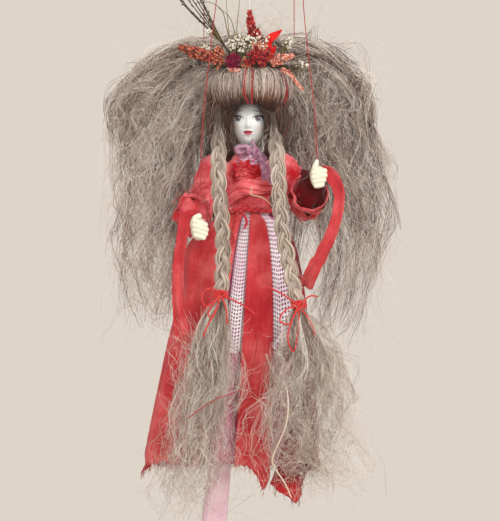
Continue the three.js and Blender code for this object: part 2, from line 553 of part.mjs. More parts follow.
// Gauze ribbons that hang from the fists, gathered at the top, along a drop of hand-chosen points
const ribbonWidth = through(RIBBON_GATHER, 0.75 * RIBBON_WIDTH, RIBBON_WIDTH, RIBBON_WIDTH,
  0.7 * RIBBON_WIDTH);
function ribbon(points) {
  const path = new THREE.CatmullRomCurve3(points);
  return cloth(4, 12, (u, v) => {
    const t = THREE.MathUtils.clamp(v, 0, 1);
    const middle = path.getPoint(t).addScaledVector(path.getTangent(t), (v - t) * 50);
    const wave = 2 * t * Math.sin(2 * Math.PI * u + 3 * v);
    return middle.add(at((u - 0.5) * ribbonWidth(t), wave, 0));
  });
}
const besideFist = (FINGER_LENGTH - FINGER_R) / 2 + FINGER_R - FIT + RIBBON_GATHER / 2;
const ribbonLeft = LEFT_GRIP.x - besideFist;
const ribbonRight = RIGHT_GRIP.x + besideFist;
const ribbonRise = 9;
const leftRibbon = ribbon([at(ribbonLeft, LEFT_GRIP.y - 0.8, LEFT_GRIP.z + ribbonRise),
  at(ribbonLeft - 6, -51.5, LEFT_GRIP.z - 7), at(-62, -51, LEFT_GRIP.z - 28), at(-63, -49, LEFT_GRIP.z - 52),
  at(-61, -46, LEFT_GRIP.z - 78), at(-59, -44, LEFT_GRIP.z - 98)]);
const rightRibbon = ribbon([at(ribbonRight, RIGHT_GRIP.y - 0.8, RIGHT_GRIP.z + ribbonRise),
  at(ribbonRight + 8, -51, RIGHT_GRIP.z - 10), at(79, -56, RIGHT_GRIP.z - 32), at(69, -57, RIGHT_GRIP.z - 56),
  at(58, -51, RIGHT_GRIP.z - 79), at(50, -40, RIGHT_GRIP.z - 98)]);
place('left_ribbon', leftRibbon, RED_GAUZE, 0.85);
place('right_ribbon', rightRibbon, RED_GAUZE, 0.85);

// Strings from the control
const stringTop = crossbarBottom - FIT;
const bodiceTop = TORSO_TOP_Z + BODICE_WALL;
const cordEnd = headTop - CORD_HOLE_DEPTH + FIT;
place('head_cord', cord([at(0, 0, barBottom - FIT), at(0, 0, -80), at(0, 0, cordEnd)], HEAD_CORD_R, 5),
  WHITE_CORD, 0.8);
for (const [side, sign] of [['left', -1], ['right', 1]]) {
  const x = sign * SHOULDER_STRING_X;
  place(`${side}_shoulder_string`, cord([at(x, shoulderBarY, stringTop), at(x, 25, -80), at(x, 24, -140),
    at(0.94 * x, 22, -168), at(sign * 21, 9.5, bodiceTop - 4)], THREAD_R, 7), RED_THREAD, 0.8);
}
const fistTop = fistHeight / 2 + THUMB_LENGTH / 2 + THUMB_R + FIT;
place('left_hand_string', cord([at(LEFT_HAND_STRING_X, handBarY, stringTop), at(-29, -52, -70),
  at(-36, -52, -128), at(-41, -51, -180), at(LEFT_GRIP.x, LEFT_GRIP.y + 1, LEFT_GRIP.z + fistTop)],
THREAD_R, 6), RED_THREAD, 0.8);
place('right_hand_string', cord([at(RIGHT_HAND_STRING_X, handBarY, stringTop), at(48, -51, -70),
  at(53, -50, -122), at(58, -48, -165), at(RIGHT_GRIP.x, RIGHT_GRIP.y + 1, RIGHT_GRIP.z + fistTop)],
THREAD_R, 6), RED_THREAD, 0.8);

// Hair roll: combed flax turned under all round the brow, with the head's crown inside it
const rollBottom = ROLL_TOP_Z - ROLL_HEIGHT;
const rollProfile = [[0, 0], [0.7, 0], [0.92, 0.17], [1, 0.42], [0.96, 0.68], [0.84, 0.88], [0.68, 1],
  [0.5, 0.88], [0, 0.8]];
const hairRoll = turned(rollProfile.map(([r, drop]) => [r * ROLL_R, ROLL_TOP_Z - drop * ROLL_HEIGHT]), 24);
const cordWay = rod(at(0, 0, headTop - 1), at(0, 0, ROLL_TOP_Z + 1), HEAD_CORD_R + FIT);
const hairline = ball(at(0, -ROLL_R, rollBottom - HAIRLINE_RISE), 15, 24, 2 * HAIRLINE_RISE, 16, 8);
const brow = headShape(3 * FIT, 12, 8).add(hairline);
place('hair_roll', hairRoll.subtract(brow).subtract(cordWay), FLAX, 0.8);

const crownTop = ROLL_TOP_Z + CROWN_HEIGHT;
const crown = skin(new THREE.CatmullRomCurve3([at(0, 20, ROLL_TOP_Z + FIT), at(0, 20, crownTop)]),
  16, 5, ellipse((t) => 31 * (1 - t ** 3) ** 0.5 + 2, (t) => 12 * (1 - t ** 3) ** 0.5 + 2));
const wreathZ = ROLL_TOP_Z + FIT + WREATH_R;
function wreath(grow) {
  const ring = new THREE.TorusGeometry(WREATH_RING_R, WREATH_R + grow, 6, 20);
  return toSolid(ring.translate(0, 0, wreathZ));
}
place('crown_hair', crown.subtract(wreath(FIT)), FLAX, 0.8);

// Loose hair: side masses from the crown down past the arms, and the fall down the back
// Each station of a side mass is [z, inner x, outer x]
const leftStations = [[-96, -SIDE_HAIR_TOP_X, -70], [-134, -SIDE_HAIR_TOP_X - 2, -116],
  [-168, -SIDE_HAIR_X - 1, -128], [-200, -SIDE_HAIR_X, -114], [-240, -54, -119], [-276, -60, -129],
  [-315, -70, -118], [-352, -86, -98]];
const rightStations = [[-95, SIDE_HAIR_TOP_X, 74], [-132, SIDE_HAIR_TOP_X + 2, 102],
  [-170, SIDE_HAIR_X + 1, 114], [-208, SIDE_HAIR_X, 123], [-250, 56, 132], [-292, 64, 127],
  [-334, 66, 114], [-376, 76, 86]];
const sideDepth = through(7, 13, 15, 15, 15, 14, 12, 7);
function hairMass(stations, grow) {
  const middles = stations.map(([z, inside, outside]) => at((inside + outside) / 2, SIDE_HAIR_Y, z));
  const halves = through(...stations.map(([, inside, outside]) => Math.abs(outside - inside) / 2));
  return skin(new THREE.CatmullRomCurve3(middles), 13, 9, (t, angle) => {
    const lock = 1 + 0.1 * Math.cos(6 * angle + 5 * t);
    return [(halves(t) * lock + grow) * Math.sin(angle), (sideDepth(t) * lock + grow) * Math.cos(angle)];
  });
}
place('left_hair', hairMass(leftStations, 0), FLAX, 0.8);
place('right_hair', hairMass(rightStations, 0), FLAX, 0.8);
const backY = ROLL_R + BACK_HAIR_DEPTH / 2 + 10 * FIT;
const backPath = new THREE.CatmullRomCurve3([at(0, backY, ROLL_TOP_Z + 16), at(0, backY, ROLL_TOP_Z - 14),
  at(0, backY - 3, rollBottom - 1), at(0, 35, TORSO_TOP_Z + 10), at(0, 31, TORSO_TOP_Z - 12),
  at(0, 42, WAIST_Z - 9), at(0, 47, WAIST_Z - 52), at(0, 49, WAIST_Z - 92)]);
const backHair = skin(backPath, 16, 9, ellipse(through(32, 41, 43, 48, 55, 52, 42, 26),
  through(5, 8, 9, 13, BACK_HAIR_DEPTH, BACK_HAIR_DEPTH, 15, 11)));
const besideBack = hairMass(leftStations, 2 * FIT).add(hairMass(rightStations, 2 * FIT));
place('back_hair', backHair.subtract(besideBack).subtract(bodiceShape(FIT)), FLAX, 0.8);

// Braids down the front, each bound with a raffia tie above a loose tassel
// drop holds [x, y, z below the roll] and tassel [x, y, half width, half depth] from top to end
const braids = [
  {
    side: 'left',
    drop: [[-27, -19, 3.4], [-27, -36, -34], [-26.5, -46, -64], [-23, -50, -105], [-23, -51, -135],
      [-25.5, -52, -165]],
    tassel: [[-25.5, -54, 6, 6], [-36, -57, 19, 13], [-39, -59, 29, 16], [-40, -60, 28, 17],
      [-44, -60, 31, 16], [-58, -58, 20, 9]],
    tasselEnd: -528,
  },
  {
    side: 'right',
    drop: [[21, -20, 0.7], [24.5, -36, -34], [26.5, -46, -64], [29, -50, -100], [35, -51, -132],
      [44, -52, -174]],
    tassel: [[44, -54, 6, 6], [50, -57, 22, 13], [53, -59, 38, 16], [58, -60, 48, 17],
      [60, -60, 42, 16], [56, -58, 24, 9]],
    tasselEnd: -505,
  },
];
for (const { side, drop, tassel, tasselEnd } of braids) {
  const top = rollBottom - 1.6 * FIT;
  const path = new THREE.CatmullRomCurve3(drop.map(([x, y, z]) => at(x, y, top + z)));
  const swell = through(0.55, 1, 1, 1, 1, 1);
  const braid = (grow) => skin(path, 8, 11,
    ellipse((t) => swell(t) * BRAID_R + grow, (t) => 0.85 * swell(t) * BRAID_R + grow));
  place(`${side}_braid`, braid(0), FLAX, 0.8);
  const end = path.getPoint(1);
  const tieMid = end.z + TIE_HEIGHT / 2 + FIT;
  const tie = ball(at(end.x, end.y, tieMid), TIE_R + 1.5, TIE_R, TIE_HEIGHT, 10, 5)
    .subtract(block(at(end.x, end.y, end.z - AMPLE / 2), AMPLE, AMPLE, AMPLE)).subtract(braid(FIT));
  place(`${side}_tie`, tie, TIE_RED, 0.7);
  const tasselTop = end.z - 2 * FIT;
  const stepZ = (tasselEnd - tasselTop) / (tassel.length - 1);
  const stations = tassel.map(([x, y], i) => at(x, y, tasselTop + i * stepZ));
  const wide = through(...tassel.map((row) => row[2]));
  const deep = through(...tassel.map((row) => row[3]));
  const tuft = skin(new THREE.CatmullRomCurve3(stations), 13, 8, (t, angle) => {
    const lock = 1 + 0.06 * Math.cos(5 * angle + 5 * t);
    return [wide(t) * lock * Math.sin(angle), deep(t) * lock * Math.cos(angle)];
  });
  const aboveTassel = block(at(end.x, end.y, tasselTop + AMPLE / 2), AMPLE, AMPLE, AMPLE);
  place(`${side}_tassel`, tuft.subtract(aboveTassel), FLAX, 0.8);
}

// Headdress of dried flowers: some stand on the roll inside the wreath, some spread from its rim
const stand = ROLL_TOP_Z + FIT;
const rim = WREATH_RING_R + WREATH_R + 2 * FIT;
const onRim = (degrees) => at(rim * Math.cos(THREE.MathUtils.degToRad(degrees)),
  rim * Math.sin(THREE.MathUtils.degToRad(degrees)), wreathZ);
function flower(points, sides, steps, halfA, halfB) {
  const path = new THREE.CatmullRomCurve3(points);
  return skin(path, sides, steps, ellipse(halfA, halfB)).subtract(wreath(FIT));
}
place('wreath', wreath(0), TWIG, 0.9);
place('red_spike', flower([at(9, -9, stand), at(9, -10, -100), at(1, -9, -73)], 10, 6,
  through(2, 5.5, 4, 1), through(2, 5, 4, 1)), TIE_RED, 0.9);
const stemRoute = [at(-11, -8, stand + 1.2), at(-27, -11, -98), at(-47, -13, -70), at(-62, -14, -50)];
place('grass_stems', flower(stemRoute, 8, 7, through(1.8, 2.6, 3.4, 5), through(1.8, 2.4, 3, 4)), TWIG, 0.9);
place('red_leaf', flower([at(17, -11, stand + 0.5), at(21, -14, -110), at(24, -16, -92)], 10, 6,
  through(1.5, 5, 7.5, 6, 1), through(1.2, 1.8, 2, 1.6, 0.8)), TIE_RED, 0.9);
const plumeRoute = [onRim(-140), at(-33, -21, -117), at(-48, -21, -110), at(-61, -22, -106)];
const plumeHalf = through(1.5, 5, 6, 1.5);
place('orange_plume', flower(plumeRoute, 10, 6, plumeHalf, plumeHalf), ORANGE, 0.9);
place('strawflower', flower([onRim(-116), at(-13.5, -31, -119), at(-14, -36, -118)], 12, 5,
  through(2, 6, 9, 8, 3), through(2, 6, 7, 6, 3)), CRIMSON, 0.9);
place('red_flower', flower([onRim(-72), at(9, -32, -118), at(9, -37, -116)], 12, 5,
  through(2, 8, 10.5, 9, 3), through(2, 7, 9, 8, 3)), DARK_RED, 0.9);
place('right_twigs', flower([onRim(-12), at(36, -8, -119.5), at(45, -9, -120), at(54, -10, -121)], 8, 5,
  through(1.4, 2.4, 2.4, 1), through(1.2, 2, 2, 1)), TWIG, 0.9);

export default puppet;
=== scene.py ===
import json
import math

import bmesh
import bpy
import numpy as np
from mathutils import Matrix, Vector, noise


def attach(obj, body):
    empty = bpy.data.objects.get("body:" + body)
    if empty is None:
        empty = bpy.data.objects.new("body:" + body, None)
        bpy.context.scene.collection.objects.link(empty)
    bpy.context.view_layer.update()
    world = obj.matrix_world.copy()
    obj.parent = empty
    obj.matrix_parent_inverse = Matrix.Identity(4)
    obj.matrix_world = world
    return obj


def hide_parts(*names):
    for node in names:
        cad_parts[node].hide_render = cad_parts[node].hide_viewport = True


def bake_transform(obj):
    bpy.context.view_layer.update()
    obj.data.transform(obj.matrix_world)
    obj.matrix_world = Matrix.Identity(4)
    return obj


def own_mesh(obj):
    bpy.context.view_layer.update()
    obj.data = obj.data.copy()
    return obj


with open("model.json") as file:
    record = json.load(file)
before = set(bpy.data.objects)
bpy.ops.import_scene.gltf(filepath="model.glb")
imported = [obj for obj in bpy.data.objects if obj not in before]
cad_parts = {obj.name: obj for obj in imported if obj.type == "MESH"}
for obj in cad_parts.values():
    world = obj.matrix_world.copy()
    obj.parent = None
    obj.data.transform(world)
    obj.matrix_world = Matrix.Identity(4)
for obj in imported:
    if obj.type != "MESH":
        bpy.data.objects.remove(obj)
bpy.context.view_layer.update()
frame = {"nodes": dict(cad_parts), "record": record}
MM = 0.001


# Studio: a round pale floor below the hanging puppet and a pale surround, a large soft lamp high in
# front, weaker ones at both sides and behind, and a camera level with the middle of the photograph.
VIEW_MIDDLE = (0.9, -296.5)
VIEW_HEIGHT = 469
CAMERA_AWAY = 2500
SENSOR = 36
FLOOR_Z = -640
FLOOR_R = 1100
PAPER_COLOUR = (214, 204, 192)
SURROUND = (222, 212, 200)


def tint(red, green, blue):
    """Linear colour of an sRGB triple written from 0 to 255."""
    parts = [c / 255 for c in (red, green, blue)]
    return [c / 12.92 if c <= 0.04045 else ((c + 0.055) / 1.055) ** 2.4 for c in parts] + [1.0]


def feed(tree, socket, value):
    """Links a socket to another one, or sets it to a plain value."""
    if isinstance(value, bpy.types.NodeSocket):
        tree.links.new(value, socket)
    else:
        socket.default_value = value


def add_node(tree, kind, *values, **settings):
    """New shader node; values go to its sockets in order, a setting to the socket or property it names."""
    node = tree.nodes.new("ShaderNode" + kind)
    for name, value in settings.items():
        socket = node.inputs.get(name.replace("_", " "))
        if socket is None:
            setattr(node, name, value)
        else:
            feed(tree, socket, value)
    for socket, value in zip(node.inputs, values):
        feed(tree, socket, value)
    return node


def own_place(tree):
    return add_node(tree, "TexCoord").outputs["Object"]


def mottling(tree, scale, detail, place=None, **settings):
    """Value socket of a noise, at a place socket or else at the object's own coordinates."""
    place = own_place(tree) if place is None else place
    return add_node(tree, "TexNoise", Vector=place, Scale=scale, Detail=detail, **settings).outputs["Fac"]


def ramp(tree, value, *stops):
    """Colour socket of a ramp over a value socket; a stop is a place from 0 to 1 and an sRGB triple."""
    band = add_node(tree, "ValToRGB", Fac=value)
    elements = band.color_ramp.elements
    for element, (place, colour) in zip(elements, (stops[0], stops[-1])):
        element.position, element.color = place, tint(*colour)
    for place, colour in stops[1:-1]:
        elements.new(place).color = tint(*colour)
    return band.outputs["Color"]


def new_finish(name, **settings):
    """New material; returns it with its tree and its Principled shader, whose sockets are set."""
    material = bpy.data.materials.new(name)
    material.use_nodes = True
    shader = material.node_tree.nodes["Principled BSDF"]
    for socket, value in settings.items():
        shader.inputs[socket.replace("_", " ")].default_value = value
    return material, material.node_tree, shader


def coat(tree, shader, colour, height=None, strength=0.0, depth=0.0):
    """Gives a shader its colour socket and, from a height socket, a bump of this depth in mm."""
    tree.links.new(colour, shader.inputs["Base Color"])
    if height is not None:
        bump = add_node(tree, "Bump", Height=height, Strength=strength, Distance=depth * MM)
        tree.links.new(bump.outputs["Normal"], shader.inputs["Normal"])


def shade_smooth(mesh):
    mesh.polygons.foreach_set("use_smooth", [True] * len(mesh.polygons))


def new_object(name, mesh):
    piece = bpy.data.objects.new(name, mesh)
    bpy.context.scene.collection.objects.link(piece)
    shade_smooth(mesh)
    return piece


def mesh_from(name, bm):
    mesh = bpy.data.meshes.new(name)
    bm.to_mesh(mesh)
    bm.free()
    return mesh


bm = bmesh.new()
bmesh.ops.create_circle(bm, cap_ends=True, segments=96, radius=FLOOR_R * MM,
                        matrix=Matrix.Translation((0, 0, FLOOR_Z * MM)))
floor = new_object("paper_floor", mesh_from("paper_floor", bm))
paper, tree, shader = new_finish("paper", Roughness=0.9)
coat(tree, shader, ramp(tree, mottling(tree, 3.0, 3.0), (0, PAPER_COLOUR), (1, [c + 5 for c in PAPER_COLOUR])))
floor.data.materials.append(paper)

camera_data = bpy.data.cameras.new("camera")
camera_data.sensor_fit = "VERTICAL"
camera_data.sensor_height = SENSOR
camera_data.lens = SENSOR * CAMERA_AWAY / VIEW_HEIGHT
camera_data.clip_start = 0.05
camera = bpy.data.objects.new("camera", camera_data)
camera.location = (VIEW_MIDDLE[0] * MM, -CAMERA_AWAY * MM, VIEW_MIDDLE[1] * MM)
camera.rotation_euler = (math.pi / 2, 0, 0)
bpy.context.scene.collection.objects.link(camera)
bpy.context.scene.camera = camera

# Each lamp: name, place in metres, watts, side in metres
for lamp_name, place, watts, size in [
    ("key_lamp", (0.95, -1.45, 0.8), 24, 0.8),
    ("fill_lamp", (-1.2, -1.5, 0.3), 8, 1.2),
    ("front_lamp", (0.1, -2.0, 0.0), 7, 1.0),
    ("back_lamp", (0.3, 0.9, 1.2), 9, 0.8),
]:
    lamp_data = bpy.data.lights.new(lamp_name, "AREA")
    lamp_data.energy = watts
    lamp_data.size = size
    lamp = bpy.data.objects.new(lamp_name, lamp_data)
    lamp.location = place
    aim = Vector((0, 0, VIEW_MIDDLE[1] * MM)) - Vector(place)
    lamp.rotation_euler = aim.to_track_quat("-Z", "Y").to_euler()
    bpy.context.scene.collection.objects.link(lamp)
world = bpy.data.worlds.new("studio")
world.use_nodes = True
tree = world.node_tree
soft_light = tree.nodes["Background"]
soft_light.inputs["Color"].default_value = (1.0, 0.97, 0.93, 1)
soft_light.inputs["Strength"].default_value = 0.45
surround = add_node(tree, "Background", Color=tint(*SURROUND), Strength=1.0)
ray = add_node(tree, "LightPath").outputs
seen = ray["Is Camera Ray"]
for kind in ("Is Glossy Ray", "Is Transmission Ray"):
    seen = add_node(tree, "Math", seen, ray[kind], operation="MAXIMUM").outputs["Value"]
both = add_node(tree, "MixShader", seen, soft_light.outputs["Background"], surround.outputs["Background"])
tree.links.new(both.outputs["Shader"], tree.nodes["World Output"].inputs["Surface"])
bpy.context.scene.world = world
bpy.context.scene.view_settings.view_transform = "Standard"


# Strings: a twisted white cotton cord that carries the head, and four red sewing threads to the
# shoulders and fists. All hang taut from the control.
CORD_ROUTES = {
    "head_cord": [(0, 0, -24.6), (0, 0, -80), (0, 0, -153.2)],
    "left_shoulder_string": [
        (-41, 26, -15.3), (-41, 25, -80), (-41, 24, -140), (-38.5, 22, -168), (-21, 9.5, -205)],
    "right_shoulder_string": [
        (41, 26, -15.3), (41, 25, -80), (41, 24, -140), (38.5, 22, -168), (21, 9.5, -205)],
    "left_hand_string": [
        (-22, -52, -15.3), (-29, -52, -70), (-36, -52, -128), (-41, -51, -180), (-43.5, -51, -256)],
    "right_hand_string": [
        (46, -52, -15.3), (48, -51, -70), (53, -50, -122), (58, -48, -165), (60.2, -47, -208)],
}
HEAD_CORD_R = 1.0
THREAD_R = 0.4
STRING_POINTS = 40
SHOULDER_RISE = math.radians(40)
ELBOW_RISE = math.radians(10)


def smooth_line(points, count):
    """Even samples, as an array, of a Catmull-Rom curve through the points."""
    points = np.asarray(points, float)
    padded = np.vstack([2 * points[0] - points[1], points, 2 * points[-1] - points[-2]])
    place = np.linspace(0, len(points) - 1, count)
    start = np.minimum(place.astype(int), len(points) - 2)
    t = (place - start)[:, None]
    a, b, c, d = (padded[start + k] for k in range(4))
    return 0.5 * (2 * b + (c - a) * t + (2 * a - 5 * b + 4 * c - d) * t**2 + (3 * b - a - 3 * c + d) * t**3)


def fibre_piece(name, lines, radii, sides=3, tones=None):
    """Piece of tubes drawn along lines (strands x points x 3, in mm) with a radius at every point.
    Each strand keeps a tone, and has a cell of its own in the map that its colours are kept in."""
    lines = np.asarray(lines, float) * MM
    strands, count = lines.shape[:2]
    radii = np.broadcast_to(np.asarray(radii, float) * MM, (strands, count))
    section = bpy.data.curves.new(name + "_section", "CURVE")
    ring = section.splines.new("POLY")
    ring.points.add(sides - 1)
    ring.use_cyclic_u = True
    for k, point in enumerate(ring.points):
        point.co = (math.cos(2 * math.pi * k / sides), math.sin(2 * math.pi * k / sides), 0, 1)
    section_object = bpy.data.objects.new(name + "_section", section)
    curve = bpy.data.curves.new(name, "CURVE")
    curve.dimensions = "3D"
    curve.bevel_mode = "OBJECT"
    curve.bevel_object = section_object
    for line, radius in zip(lines, radii):
        spline = curve.splines.new("POLY")
        spline.points.add(count - 1)
        spline.points.foreach_set("co", np.column_stack([line, np.ones(count)]).ravel())
        spline.points.foreach_set("radius", radius)
    drawn = bpy.data.objects.new(name, curve)
    for helper in (section_object, drawn):
        bpy.context.scene.collection.objects.link(helper)
    mesh = bpy.data.meshes.new_from_object(drawn.evaluated_get(bpy.context.evaluated_depsgraph_get()))
    for helper in (drawn, section_object):
        data = helper.data
        bpy.data.objects.remove(helper)
        bpy.data.curves.remove(data)
    mesh.name = name
    bm = bmesh.new()
    bm.from_mesh(mesh)
    bmesh.ops.holes_fill(bm, edges=[edge for edge in bm.edges if edge.is_boundary], sides=sides)
    bm.to_mesh(mesh)
    bm.free()

    corners = np.empty(len(mesh.loops), int)
    mesh.loops.foreach_get("vertex_index", corners)
    starts = np.empty(len(mesh.polygons), int)
    mesh.polygons.foreach_get("loop_start", starts)
    totals = np.diff(np.append(starts, len(corners)))
    side = corners % sides
    spread = np.maximum.reduceat(side, starts) - np.minimum.reduceat(side, starts)
    wraps = np.repeat((spread == sides - 1) & (totals == 4), totals)
    across = np.where(wraps & (side == 0), sides, side) / sides
    along = (corners // sides % count) / (count - 1)
    strand = corners // (sides * count)
    columns = math.ceil(math.sqrt(strands))
    cells = np.column_stack([strand % columns + 0.1 + 0.8 * across, strand // columns + 0.1 + 0.8 * along])
    while mesh.uv_layers:
        mesh.uv_layers.remove(mesh.uv_layers[0])
    mesh.uv_layers.new(name="OFBake").data.foreach_set("uv", (cells / columns).ravel())
    tones = np.zeros(strands) if tones is None else np.asarray(tones, float)
    each = count * sides
    mesh.attributes.new("tone", "FLOAT", "POINT").data.foreach_set("value", np.repeat(tones, each))
    run = np.tile(np.repeat(np.linspace(0, 1, count), sides), strands)
    mesh.attributes.new("run", "FLOAT", "POINT").data.foreach_set("value", run)
    return new_object(name, mesh)


def twisted_finish(name, dark, light, plies):
    """Spun thread: slanted plies from a wave along the height, with painted shade between them and a painted
    highlight on their tops.
    """
    material, tree, shader = new_finish(name, Roughness=0.85, Sheen_Weight=0.3)
    turned = add_node(tree, "Mapping", Vector=own_place(tree), Rotation=(0, 0.6, 0.4))
    ply = add_node(tree, "TexWave", Vector=turned.outputs["Vector"], Scale=plies, Distortion=1.5,
                   Detail=2.0, bands_direction="Z").outputs["Fac"]
    coat(tree, shader, ramp(tree, ply, (0, dark), (1, light)), ply, 0.5, 0.3)
    return material


def rise(point, pivot, angle):
    """Point turned about the line along X through pivot, so that what is ahead of it goes up."""
    y, z = point[1] - pivot[1], point[2] - pivot[2]
    return np.array([point[0], pivot[1] + y * math.cos(angle) + z * math.sin(angle),
                     pivot[2] - y * math.sin(angle) + z * math.cos(angle)])


def line_length(line):
    return float(np.linalg.norm(np.diff(line, axis=0), axis=1).sum())


def settle(piece, finish, slot, body, *nodes):
    """Gives a piece its finish, rides it on a body and lets it stand for CAD nodes; the slot is not used."""
    piece.data.materials.append(finish)
    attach(piece, body)
    if nodes:
        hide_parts(*nodes)
    return piece


joint_at = {joint["name"]: np.array(joint["pos_m"]) / MM for joint in frame["record"]["behaviour"]["joints"]}
cotton = twisted_finish("white_cotton", (196, 192, 182), (246, 244, 238), 260)
red_thread = twisted_finish("red_thread", (140, 22, 26), (206, 48, 50), 420)
for cord_name, route in CORD_ROUTES.items():
    main = cord_name == "head_cord"
    thick = HEAD_CORD_R if main else THREAD_R
    line = smooth_line(route, STRING_POINTS)
    string = fibre_piece(cord_name + "_drawn", [line], thick, 8)
    settle(string, cotton if main else red_thread, "white_cord" if main else "red_thread", "torso", cord_name)
    if cord_name.endswith("hand_string"):
        arm = cord_name.split("_")[0]
        bent = rise(line[-1], joint_at[arm + "_elbow"], ELBOW_RISE)
        lift = rise(bent, joint_at[arm + "_shoulder"], SHOULDER_RISE) - line[-1]
        reach = abs(np.dot(line[-1] - line[0], lift)) / np.linalg.norm(lift)
        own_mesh(string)


# Control: two crossbars screwed on a main bar of plain sanded beech, with a bright steel hook. The
# grain runs along each bar, with darker pores and a slight shine on the worn edges.
GRAIN_STRETCH = 14.0


def beech(name, along):
    """Sanded beech with its grain along one axis."""
    material, tree, shader = new_finish(name, Roughness=0.5)
    stretch = [1.0 if axis == along else GRAIN_STRETCH for axis in "XYZ"]
    grain = add_node(tree, "Mapping", Vector=own_place(tree), Scale=stretch).outputs["Vector"]
    fibre = mottling(tree, 40.0, 6.0, grain, Roughness=0.65)
    year = mottling(tree, 9.0, 2.0, grain, Distortion=0.6)
    mixed = add_node(tree, "Math", fibre, year, operation="MULTIPLY").outputs["Value"]
    coat(tree, shader, ramp(tree, mixed, (0.12, (150, 106, 66)), (0.42, (214, 176, 124))), fibre, 0.25, 0.4)
    return material


steel, tree, shader = new_finish("bright_steel", Metallic=1.0, Base_Color=tint(196, 198, 202))
drawn_lines = add_node(tree, "Mapping", Vector=own_place(tree), Scale=(300, 300, 40)).outputs["Vector"]
dull = add_node(tree, "MapRange", Value=mottling(tree, 6.0, 4.0, drawn_lines), To_Min=0.22, To_Max=0.42)
tree.links.new(dull.outputs["Result"], shader.inputs["Roughness"])
beech_x, beech_y, beech_z = (beech("beech_" + axis.lower(), axis) for axis in "XYZ")


def finish_node(material, *names):
    """Gives CAD nodes that show as they are one finish."""
    for name in names:
        frame["nodes"][name].data.materials.clear()
        frame["nodes"][name].data.materials.append(material)


finish_node(beech_y, "control_bar", "left_forearm", "right_forearm")
finish_node(beech_x, "hand_bar", "shoulder_bar")
finish_node(beech_z, "torso", "neck_dowel", "left_upper_arm", "right_upper_arm")
finish_node(steel, "hanging_hook", "hand_bar_screw", "shoulder_bar_screw", "shoulder_rod",
            "left_elbow_pin", "right_elbow_pin")
for node_name in ("hand_bar_screw", "shoulder_bar_screw", "hanging_hook"):
    shade_smooth(frame["nodes"][node_name].data)


# Head: one casting of white bisque with a short neck, pressed nose, lips, chin and eye hollows. The
# eyes, brows, lips and a breath of blush are painted on and fired.
HEAD_Z = -172
HEAD_HALF = (15.5, 17.5, 22.5)
FACE_X = -1.0
EYE_X, EYE_Z = 8.8, 2.4
NOSE_Z = -4.2
MOUTH_Z = -9.9
NECK_R = 5.5
NECK_END = -207.7


def swell(value, centre, half):
    """Soft hump that is 1 at the centre and falls off over the half width."""
    return math.exp(-(((value - centre) / half) ** 2))


bm = bmesh.new()
bmesh.ops.create_uvsphere(bm, u_segments=176, v_segments=132, radius=1)
for vert in bm.verts:
    x, y, z = vert.co
    jaw = 1 - 0.12 * z * z if z < 0 else 1
    back = 1 - 0.22 * z * z if z < 0 else 1
    px, pz = x * jaw * HEAD_HALF[0] - FACE_X, z * HEAD_HALF[2]
    front = max(0.0, -y) ** 0.5
    ridge = 1.5 + 0.9 * swell(pz, NOSE_Z, 3)
    nose = 2.6 * swell(px, 0, ridge) * swell(pz, NOSE_Z, 2.6)
    nose += 1.0 * swell(px, 0, 1.7) * swell(pz, 1.5, 5)
    lips = 1.3 * swell(px, 0, 3.6) * (swell(pz, MOUTH_Z + 1.2, 1.2) + 1.15 * swell(pz, MOUTH_Z - 1.4, 1.4))
    seam = 0.7 * swell(px, 0, 4.2) * swell(pz, MOUTH_Z, 0.55)
    chin = 1.5 * swell(px, 0, 5) * swell(pz, -18, 3.4)
    socket = 1.5 * swell(abs(px), EYE_X, 4.6) * swell(pz, EYE_Z + 0.6, 3.6)
    eyeball = 0.9 * swell(abs(px), EYE_X, 3.2) * swell(pz, EYE_Z, 2.2)
    cheek = 0.9 * swell(abs(px), 9.5, 4.5) * swell(pz, -5, 5)
    relief = front * (nose + lips - seam + chin - socket + eyeball + cheek)
    vert.co = Vector((x * jaw * HEAD_HALF[0], y * back * HEAD_HALF[1] - relief,
                      HEAD_Z + z * HEAD_HALF[2])) * MM
neck_ring = bmesh.ops.create_cone(bm, cap_ends=True, segments=48, radius1=NECK_R * MM,
                                  radius2=(NECK_R - 0.4) * MM, depth=(HEAD_Z - 8 - NECK_END) * MM)["verts"]
bmesh.ops.translate(bm, verts=neck_ring, vec=(0, 0, (HEAD_Z - 8 + NECK_END) / 2 * MM))
head = new_object("bisque_head", mesh_from("bisque_head", bm))

bisque, tree, shader = new_finish("painted_bisque", Roughness=0.38, Subsurface_Weight=0.12, Coat_Weight=0.15,
                                  Subsurface_Radius=(0.004, 0.003, 0.002))
coords = own_place(tree)
split = add_node(tree, "SeparateXYZ", Vector=coords).outputs
centred = add_node(tree, "Math", split["X"], FACE_X * MM, operation="SUBTRACT").outputs["Value"]
mirrored = add_node(tree, "Math", centred, operation="ABSOLUTE").outputs["Value"]
both_sides, one_side = (add_node(tree, "CombineXYZ", X=x, Y=split["Y"], Z=split["Z"]).outputs["Vector"]
                        for x in (mirrored, centred))
front_half = add_node(tree, "MapRange", Value=split["Y"], From_Min=-0.002, From_Max=-0.006).outputs["Result"]
glaze = mottling(tree, 260.0, 4.0, coords)


